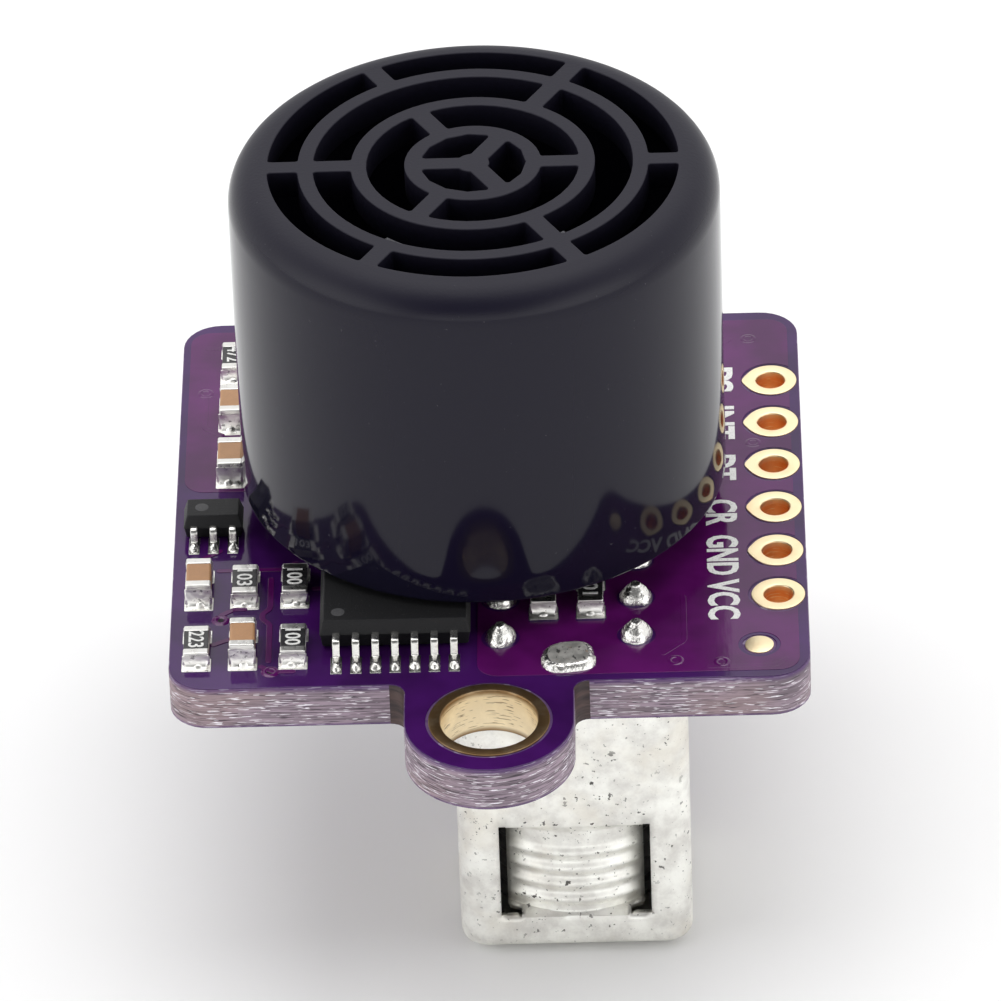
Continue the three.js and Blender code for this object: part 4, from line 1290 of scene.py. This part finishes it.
def make_former():
    """The pin base and its six pins, each soldered on the board's top face."""
    low, high = box("transformer_former")
    size, centre = high - low, (low + high) / 2
    holes = [circle(0.32, 20, pin - centre[:2]) for pin in COIL_PINS]
    body = slab(rectangle(size[0], size[1], 0.6, 5), low[2], high[2], 0.1, holes)
    piece("pin_base", body.moved(*centre[:2]), [phenolic()], ["transformer_former"])
    for i, place in enumerate(COIL_PINS, 1):
        low, high = box(f"transformer_pin_{i}")
        shank = [(0, low[2]), (0.24, low[2]), (0.28, low[2] + 0.05), (0.28, TOP - 0.01)]
        end = solder_profile(0.2, high[2] - TOP, 0.54, 0.50) + (0, TOP)
        joint = lumpy(lathe(np.concatenate([shank, end]), 36), 0.045, 30 + i)
        piece(f"coil_pin_{i}", joint.moved(*place), [solder()], [f"transformer_pin_{i}"])


def make_coil():
    """The drum, and the winding, whose outside swells by |cos| at each layer."""
    low, high = box("drum_core")
    wide, base, top = radius("drum_core"), low[2], high[2]
    place = middle("drum_core")[:2]
    corners = [
        (0, base), (wide, base), (wide, base + 0.5), (0.9, base + 0.5), (0.9, top - 0.5), (wide, top - 0.5),
        (wide, top), (0, top),
    ]
    piece("drum", lathe(round_edges(corners, 0.08)).moved(*place), [ferrite()], ["drum_core"])
    low, high = box("coil_winding")
    r = radius("coil_winding")
    t = np.linspace(0, 1, 160)
    swell = 0.05 * (np.abs(np.cos(t * math.pi * LAYERS)) - 1)
    layers = np.stack([r + swell, low[2] + t * (high[2] - low[2])], -1)
    turns = np.concatenate([[(0.92, low[2])], layers, [(0.92, high[2]), (0.92, low[2])]])
    wire = finish_of("wound wire", enamelled_wire, (0.62, 0.25, 0.09))
    piece("winding", lathe(turns, 64).moved(*place), [wire], ["coil_winding"])


def make_tuning_core():
    """A threaded cup with a slotted nose: its radius is R less GROOVE times half of 1 - cos t, where t
    turns once for each pitch of height and back once round the axis, so the groove is a helix."""
    low, high = box("tuning_core")
    r, base, mouth = radius("tuning_core") - 0.02, low[2], high[2]
    slot_end, crown = base + SLOT_DEPTH, base + CROWN
    z = np.linspace(base + 0.35, mouth - 0.2, 110)
    turn = np.linspace(0, TAU, CORE_STEPS, endpoint=False)
    wave = 0.5 - 0.5 * np.cos(TAU * (z[:, None] / mm(settings("transformer").pitch) - turn / TAU))
    fade = np.clip(np.minimum(z - z[0], z[-1] - z) / 0.4, 0, 1)[:, None]
    groove = r - GROOVE * wave * fade
    thread = np.stack([groove * np.cos(turn), groove * np.sin(turn), z[:, None] + 0 * groove], -1)
    ring = lambda drawn_in, height: np.c_[circle(r - drawn_in, CORE_STEPS), np.full(CORE_STEPS, height)][None]
    rows = [ring(r, slot_end), ring(0.23, slot_end), ring(0.01, slot_end + 0.02), thread[z > slot_end + 0.05]]
    rows += [ring(0.08, mouth - 0.05), ring(0.18, mouth), ring(0.78, mouth), ring(0.83, mouth - 0.05)]
    rows += [ring(0.83, crown + 0.1), ring(0.93, crown), ring(r, crown)]
    rim = [(0.3, slot_end), (0.02, slot_end), (0.0, base + 0.4)]
    rim += [(0.03, base + 0.22), (0.2, base + 0.02), (0.3, base)]
    lining = edge_rows(base, slot_end, 0.05, 2)
    nose = plate(circle(r, CORE_STEPS), rim, [rectangle(3.6, 0.6, 0.12, 4)], lining)
    shell = (grid(np.concatenate(rows)) + nose).moved(*middle("tuning_core")[:2])
    piece("threaded_cup", shell, [ferrite()], ["tuning_core"], CORE_BODY)


# ---- Chips ----

PARTING = 0.55  # height of a moulded body's parting line, where its leads come out, in body heights
STANDOFF = 0.08  # under a leaded body
CLIMB = 0.26  # how far the solder reaches in front of a metal end


def gull_wing(edge, tip, height, width):
    """One bent lead in (y, z), from inside the body down to its foot on the board."""
    s = settings("chips")
    thick = mm(s.lead)
    reach = tip - edge
    exit_height = height * PARTING
    bend = [
        (edge - 0.15, exit_height), (edge + reach * 0.42, exit_height), (edge + reach * 0.55, thick * 0.6),
        (tip, thick * 0.55),
    ]
    path = rounded(bend, [0, 0.12, 0.12, 0], 5, closed=False)
    return strip(path, thick, width, 0.03)


def toe(width, seed):
    return lumpy(dome(width, 0.52, 0.20, 2.0, 24, 7), 0.06, seed)


def leaded(length_x, width, height, pins, pitch, lead, span):
    """Body, leads and the solder at their feet, on z = 0 and centred on the origin."""
    s = settings("chips")
    draft, bevel = mm(s.draft), mm(s.bevel)
    low, split = STANDOFF, height * PARTING
    rim = [
        (draft + bevel * 1.4, height), (draft + bevel, height), (draft + bevel * 0.3, height - bevel * 0.4),
        (draft, height - bevel), (0.012, split + 0.02), (0, split), (0.012, split - 0.02),
        (draft * 0.7, low + bevel), (draft * 0.7 + bevel, low), (draft + bevel * 2, low),
    ]
    body = plate(rectangle(length_x, width, 0.06, 3), rim, drawn_in=shrunk)
    mark = dome(0.46, 0.46, 0.008, 8, 24, 4).painted(2)
    mark = mark.moved(0.62 - length_x / 2, 0.62 - width / 2, height - 0.001)
    wing = gull_wing(width / 2, span / 2, height, lead)
    places = (np.arange(pins) - (pins - 1) / 2) * pitch
    leads = sum(side.moved(x) for x in places for side in (wing, wing.turned(180)))
    toes = sum(
        toe(lead * 1.55, 50 + 2 * k + (sign > 0)).moved(x, sign * (span / 2 + 0.02), 0)
        for k, x in enumerate(places) for sign in (-1, 1)
    )
    pads = sum(
        block(lead * 1.5, 0.95, -0.004, 0.024, 0.01, 0.03).moved(x, sign * (span / 2 - 0.1))
        for x in places for sign in (-1, 1)
    )
    return body + mark + (leads + pads).painted(1) + toes.painted(3)


def underneath(shell):
    """The same shell turned over onto the board's underside."""
    return shell.turned(180, "Y").moved(0, 0, UNDERSIDE)


def make_leaded_chips():
    s = settings("chips")
    finishes = [
        finish_of("moulded epoxy", matt_moulding, s.body[:]),
        finish_of("tinned leads", bare_metal, shade(s.solder[:], 0.98), 0.24),
        finish_of("pin mark", matt_moulding, (0.06, 0.06, 0.063)),
        solder(),
    ]
    kinds = [
        ("amplifier_chip", "receive_chip", (5.0, 4.4, 1.1, 7, 0.65, 0.25, 6.4)),
        ("driver_chip", "drive_chip", (2.0, 1.25, 0.95, 3, 0.65, 0.24, 2.1)),
    ]
    for node, name, sizes in kinds:
        x, y, _ = middle(node)
        piece(name, leaded(*sizes).moved(x, y, TOP), finishes, [node])
    x, y, _ = middle("controller_chip")
    chip = underneath(leaded(6.5, 4.4, 1.1, 10, 0.65, 0.25, 6.4))
    piece("logic_chip", chip.moved(x, y), finishes, ["controller_chip"])


def terminals(width, half, height, reach, seed):
    """Two metal ends (finish 1) and the hollow solder that climbs them (finish 2)."""
    s = settings("chips")
    bevel, cap = mm(s.bevel), mm(s.terminal)
    end = block(width, cap, 0.015, height, bevel).moved(0, half - cap / 2)
    tip, top = half + reach, height * 0.80
    hollow = [(half + reach * 0.45, 0.03), (half + 0.03, height * 0.30)]
    climb = bezier((tip, 0.012), *hollow, (half + 0.02, top), steps=12)
    outline = np.concatenate([climb, [(half - 0.02, top), (half - 0.02, -0.005), (tip, -0.005)]])
    fillet = side_view(outline, width + 0.06, 0.02)
    waist = np.sin(np.clip((fillet.points[:, 1] - half) / reach, 0, 1) * math.pi)
    fillet.points[:, 0] *= 1 - 0.20 * waist
    random = np.random.default_rng(seed)
    bump = dome(width * 0.5, reach * 1.0, height * 0.26, 2.2, 24, 8)
    bump = bump.moved(random.uniform(-0.08, 0.08), half + reach * 0.40, 0)
    pad = block(width + 0.12, cap + reach + 0.16, -0.004, 0.02, 0.008, 0.05)
    pad = pad.moved(0, half + (reach - cap) / 2 + 0.02)
    one = end.painted(1) + (fillet + bump + pad).painted(2)
    return one + one.turned(180)


def resistor(seed, digits):
    half, width, height = 0.8, 0.85, 0.5
    core = block(width - 0.02, 2 * half - 0.3, 0.03, height - 0.035, 0.03)
    glaze = block(width - 0.03, 2 * half - 0.58, height - 0.05, height + 0.004, 0.02).painted(3)
    text = ink_word(digits, 0.52, 0.90, 0.010).moved(0, 0, height + 0.002).painted(4)
    return core + glaze + text + terminals(width, half, height, CLIMB, seed)


def ceramic_capacitor(seed):
    half, width, height = 0.8, 0.85, 0.8
    core = block(width - 0.03, 2 * half - 0.3, 0.03, height - 0.02, 0.06)
    return core + terminals(width, half, height, CLIMB, seed)


RESISTORS = {1: "103", 2: "100", 3: "223", 4: "100", 5: "472", 6: "103", 7: "101"}


def make_resistors():
    finishes = [alumina(), tinned_ends(), smooth_solder(), finish_of("glaze", black_glaze), ink()]
    for i, digits in RESISTORS.items():
        node = f"resistor_{i}"
        x, y, _ = middle(node)
        piece(f"chip_{node}", resistor(i, digits).moved(x, y, TOP), finishes, [node])


def make_capacitors():
    """Four stand on the top face and three hang under the board."""
    tan = finish_of("tan ceramic", fired_ceramic, settings("chips").capacitor[:], 0.5)
    for i in range(1, 8):
        node = f"capacitor_{i}"
        x, y, z = middle(node)
        shell = ceramic_capacitor(10 + i)
        shell = shell.moved(0, 0, TOP) if z > UNDERSIDE else underneath(shell)
        piece(f"chip_{node}", shell.moved(x, y), [tan, tinned_ends(), smooth_solder()], [node])


def make_tantalum():
    """The moulded supply capacitor: it leans in above its parting line and has a tab at each end."""
    finishes = [
        finish_of("yellow epoxy", matt_moulding, (0.60, 0.33, 0.06)),
        tinned_ends(),
        solder(),
        finish_of("polarity bar", printed_ink, (0.20, 0.07, 0.02)),
    ]
    half, width, height = 1.6, 1.6, 1.6
    rim = [
        (0.16, height), (0.11, height), (0.08, height - 0.03), (0.0, 0.85), (0.06, 0.16), (0.12, 0.1), (0.2, 0.1),
    ]
    body = plate(rectangle(width, 2 * half - 0.2, 0.08, 3), rim, drawn_in=shrunk)
    bar = block(width - 0.26, 0.45, height - 0.01, height + 0.004, 0.004, 0.02)
    bar = bar.painted(3).moved(0, half - 0.45)
    bend = [(half - 0.12, 0.9), (half - 0.03, 0.9), (half - 0.03, 0.08), (half - 0.6, 0.08)]
    tab = strip(rounded(bend, 0.06, 4, closed=False), 0.1, 1.2, 0.02)
    joint = lumpy(dome(1.5, 0.5, 0.3, 2, 24, 6), 0.04, 90).moved(0, half + 0.06)
    metal = (tab + tab.turned(180)).painted(1) + (joint + joint.turned(180)).painted(2)
    x, y, _ = middle("tantalum_capacitor")
    shell = underneath(body + bar + metal)
    piece("supply_capacitor", shell.moved(x, y), finishes, ["tantalum_capacitor"])


def make_crystal():
    lid = finish_of("plated lid", bare_metal, (0.70, 0.67, 0.58), 0.26)
    low, high = box("crystal")
    size, centre = high - low, (low + high) / 2
    body = block(size[0], size[1], 0.01, 0.5, 0.05, 0.15)
    cover = block(size[0] - 0.35, size[1] - 0.35, 0.48, 0.79, 0.08, 0.3).painted(1)
    end = lumpy(dome(0.7, 0.6, 0.2, 2, 20, 6), 0.05, 95).painted(2)
    ends = sum(end.moved(x * size[0] / 2, y * (size[1] / 2 - 0.3)) for x in (-1, 1) for y in (-1, 1))
    shell = underneath(body + cover + ends)
    piece("clock_crystal", shell.moved(*centre[:2]), [alumina(), lid, solder()], ["crystal"])


# ---- Stage ----

FLOOR_GAP = 0.0002  # metres under the sensor
FLOOR_REACH = 1.5  # metres to each side
LAMP_PLACE = (0, 0.10, 0.50)  # metres
LAMP_SIZE = 0.50  # metres
LAMP_TARGET = (0, 0, -0.013)  # metres
LOOKED_AT = (0.0005225, -0.000732, -0.013097)  # metres: the middle of the view
FILM_WIDTH = 36  # millimetres, of the camera's sensor


def soft_light(name, place, target, size, power):
    """A square area light at place, turned so that its -Z looks at target."""
    light = bpy.data.lights.new(name, "AREA")
    light.size = size
    light.energy = power
    thing = bpy.data.objects.new(name, light)
    bpy.context.scene.collection.objects.link(thing)
    turn = (Vector(target) - Vector(place)).to_track_quat("-Z", "Y").to_matrix().to_4x4()
    thing.matrix_world = Matrix.Translation(place) @ turn


def make_floor(s):
    """A wide square just under the can's closed end."""
    ground = CAD_BOX[0][2] - FLOOR_GAP
    mesh = bpy.data.meshes.new("floor")
    r = FLOOR_REACH
    corners = [(-r, -r, ground), (r, -r, ground), (r, r, ground), (-r, r, ground)]
    mesh.from_pydata(corners, [], [(0, 1, 2, 3)])
    material = bpy.data.materials.new("paper")
    material.use_nodes = True
    shader = material.node_tree.nodes["Principled BSDF"]
    shader.inputs["Base Color"].default_value = (*s.floor, 1)
    shader.inputs["Roughness"].default_value = 0.9
    mesh.materials.append(material)
    floor = bpy.data.objects.new("floor", mesh)
    bpy.context.scene.collection.objects.link(floor)
    floor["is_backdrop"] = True


LOBES = [  # towards a direction: a change of strength between two cosines
    ((0.0, -0.62, 0.78), "gloom", -1.0, 0.60, 0.92),
    ((-0.90, -0.38, 0.20), "fill", 1.0, 0.75, 1.0),
    ((0.75, -0.63, 0.20), "fill", 1.0, 0.80, 1.0),
    ((0.0, -0.98, 0.0), "fill", 0.7, 0.80, 1.0),
]


def make_sky(s):
    """A pale room. Its strength is sky times 1 plus, for each lobe, a smooth rise of the cosine to it."""
    world = bpy.data.worlds.new("room")
    world.use_nodes = True
    room = Nodes(world.node_tree, "Background")
    place = room.value("ShaderNodeTexCoord", {}, {}, "Generated")
    strength = 1.0
    for direction, setting, share, low, high in LOBES:
        inputs = {0: place, 1: direction}
        cosine = room.value("ShaderNodeVectorMath", {"operation": "DOT_PRODUCT"}, inputs, "Value")
        strength = strength + cosine.step(low, high) * (share * getattr(s, setting))
    room.shader.inputs["Color"].default_value = (1, 1, 1, 1)
    room.feed("Strength", strength * s.sky)
    bpy.context.scene.world = world


def make_camera(s):
    """Looks down back from the settings' distance, with its sides right and top turned by the roll."""
    back = Vector((
        math.sin(s.azimuth) * math.cos(s.elevation), -math.cos(s.azimuth) * math.cos(s.elevation),
        math.sin(s.elevation),
    ))
    across = Vector((math.cos(s.azimuth), math.sin(s.azimuth), 0))
    up = back.cross(across)
    right = math.cos(s.roll) * across + math.sin(s.roll) * up
    top = math.cos(s.roll) * up - math.sin(s.roll) * across
    camera = bpy.data.cameras.new("camera")
    camera.lens, camera.sensor_width = s.lens, FILM_WIDTH
    camera.clip_start, camera.clip_end = 0.01, 10
    thing = bpy.data.objects.new("camera", camera)
    bpy.context.scene.collection.objects.link(thing)
    place = Vector(LOOKED_AT) + back * s.distance
    thing.matrix_world = Matrix.Translation(place) @ Matrix((right, top, back)).transposed().to_4x4()
    bpy.context.scene.camera = thing


def make_stage():
    s = settings("stage")
    scene = bpy.context.scene
    make_floor(s)
    make_sky(s)
    make_camera(s)
    soft_light("overhead", LAMP_PLACE, LAMP_TARGET, LAMP_SIZE, s.key)
    scene.view_settings.view_transform = "Standard"
    scene.cycles.use_denoising = True


# ---- Operators and panel ----


class SENSOR_OT_laminate(bpy.types.Operator):
    """Build the board's laminate with its ears and drilled holes"""

    bl_idname = "sensor.laminate"
    bl_label = "Laminate"

    def execute(self, context):
        make_laminate()
        return {"FINISHED"}


class SENSOR_OT_mask(bpy.types.Operator):
    """Lay the violet films over both faces of the laminate"""

    bl_idname = "sensor.mask"
    bl_label = "Solder mask"

    def execute(self, context):
        make_mask()
        return {"FINISHED"}


class SENSOR_OT_copper(bpy.types.Operator):
    """Raise the tracks, the ground copper and the vias under the films"""

    bl_idname = "sensor.copper"
    bl_label = "Copper under the mask"

    def execute(self, context):
        make_tracks()
        return {"FINISHED"}


class SENSOR_OT_pin_names(bpy.types.Operator):
    """Print the pin names beside the header"""

    bl_idname = "sensor.pin_names"
    bl_label = "Pin names"

    def execute(self, context):
        make_print()
        return {"FINISHED"}


class SENSOR_OT_plating(bpy.types.Operator):
    """Build the plated screw holes, header holes and the test pad"""

    bl_idname = "sensor.plating"
    bl_label = "Plating"

    def execute(self, context):
        make_plating()
        return {"FINISHED"}


class SENSOR_OT_cup(bpy.types.Operator):
    """Build the slotted cup of the transducer"""

    bl_idname = "sensor.cup"
    bl_label = "Transducer cup"

    def execute(self, context):
        make_cup()
        return {"FINISHED"}


class SENSOR_OT_sounder(bpy.types.Operator):
    """Build the plug, soft ring, disc, diaphragm and cone inside the cup"""

    bl_idname = "sensor.sounder"
    bl_label = "Sounding parts"

    def execute(self, context):
        make_sounder()
        return {"FINISHED"}


class SENSOR_OT_transducer_pins(bpy.types.Operator):
    """Build the transducer's pins, their solder and the hair-thin wires"""

    bl_idname = "sensor.transducer_pins"
    bl_label = "Transducer pins"

    def execute(self, context):
        make_transducer_pins()
        make_lead_wires()
        return {"FINISHED"}


class SENSOR_OT_can(bpy.types.Operator):
    """Build the can with its pressed windows and lugs"""

    bl_idname = "sensor.can"
    bl_label = "Transformer can"

    def execute(self, context):
        make_can()
        return {"FINISHED"}


class SENSOR_OT_lug_joints(bpy.types.Operator):
    """Build the mounds of solder that hold the can's lugs"""

    bl_idname = "sensor.lug_joints"
    bl_label = "Lug joints"

    def execute(self, context):
        make_lug_solder()
        return {"FINISHED"}


class SENSOR_OT_former(bpy.types.Operator):
    """Build the transformer's pin base and its six soldered pins"""

    bl_idname = "sensor.former"
    bl_label = "Transformer base"

    def execute(self, context):
        make_former()
        return {"FINISHED"}


class SENSOR_OT_coil(bpy.types.Operator):
    """Build the drum and its winding"""

    bl_idname = "sensor.coil"
    bl_label = "Coil"

    def execute(self, context):
        make_coil()
        return {"FINISHED"}


class SENSOR_OT_tuning_core(bpy.types.Operator):
    """Build the threaded cup that turns to tune the transformer"""

    bl_idname = "sensor.tuning_core"
    bl_label = "Tuning core"

    def execute(self, context):
        make_tuning_core()
        return {"FINISHED"}


class SENSOR_OT_leaded_chips(bpy.types.Operator):
    """Build the chips with bent leads on both faces"""

    bl_idname = "sensor.leaded_chips"
    bl_label = "Leaded chips"

    def execute(self, context):
        make_leaded_chips()
        return {"FINISHED"}


class SENSOR_OT_resistors(bpy.types.Operator):
    """Build the chip resistors"""

    bl_idname = "sensor.resistors"
    bl_label = "Resistors"

    def execute(self, context):
        make_resistors()
        return {"FINISHED"}


class SENSOR_OT_capacitors(bpy.types.Operator):
    """Build the chip capacitors"""

    bl_idname = "sensor.capacitors"
    bl_label = "Capacitors"

    def execute(self, context):
        make_capacitors()
        return {"FINISHED"}


class SENSOR_OT_supply_capacitor(bpy.types.Operator):
    """Build the moulded capacitor under the board"""

    bl_idname = "sensor.supply_capacitor"
    bl_label = "Supply capacitor"

    def execute(self, context):
        make_tantalum()
        return {"FINISHED"}


class SENSOR_OT_crystal(bpy.types.Operator):
    """Build the crystal under the board"""

    bl_idname = "sensor.crystal"
    bl_label = "Crystal"

    def execute(self, context):
        make_crystal()
        return {"FINISHED"}


class SENSOR_OT_stage(bpy.types.Operator):
    """Set up the floor, sky, lights and camera"""

    bl_idname = "sensor.stage"
    bl_label = "Stage"

    def execute(self, context):
        make_stage()
        return {"FINISHED"}


GROUPS = {
    "transducer": TransducerSettings,
    "board": BoardSettings,
    "transformer": TransformerSettings,
    "chips": ChipSettings,
    "stage": StageSettings,
}
OPERATORS = [
    SENSOR_OT_laminate,
    SENSOR_OT_mask,
    SENSOR_OT_copper,
    SENSOR_OT_pin_names,
    SENSOR_OT_plating,
    SENSOR_OT_cup,
    SENSOR_OT_sounder,
    SENSOR_OT_transducer_pins,
    SENSOR_OT_can,
    SENSOR_OT_lug_joints,
    SENSOR_OT_former,
    SENSOR_OT_coil,
    SENSOR_OT_tuning_core,
    SENSOR_OT_leaded_chips,
    SENSOR_OT_resistors,
    SENSOR_OT_capacitors,
    SENSOR_OT_supply_capacitor,
    SENSOR_OT_crystal,
    SENSOR_OT_stage,
]


class SENSOR_PT_pieces(bpy.types.Panel):
    """Lists the sensor's pieces and their settings"""

    bl_label = "Distance Sensor"
    bl_idname = "SENSOR_PT_pieces"
    bl_space_type = "VIEW_3D"
    bl_region_type = "UI"
    bl_category = "Sensor"

    def draw(self, context):
        for name, group in GROUPS.items():
            column = self.layout.column(align=True)
            column.label(text=name.capitalize())
            for setting in group.__annotations__:
                column.prop(settings(name), setting)
        for made in OPERATORS:
            self.layout.operator(made.bl_idname)


def register():
    for kind in (*GROUPS.values(), *OPERATORS, SENSOR_PT_pieces):
        bpy.utils.register_class(kind)
    for name, group in GROUPS.items():
        setattr(bpy.types.Scene, f"sensor_{name}", bpy.props.PointerProperty(type=group))


def unregister():
    for name in GROUPS:
        delattr(bpy.types.Scene, f"sensor_{name}")
    for kind in reversed((*GROUPS.values(), *OPERATORS, SENSOR_PT_pieces)):
        bpy.utils.unregister_class(kind)


def main():
    register()
    for made in OPERATORS:
        getattr(bpy.ops.sensor, made.bl_idname.split(".")[1])()
    boxes = {"cad": CAD_BOX, "visual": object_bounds()}
    sizes = {name: [list(corner) for corner in corners] for name, corners in boxes.items()}


if __name__ == "__main__":
    main()
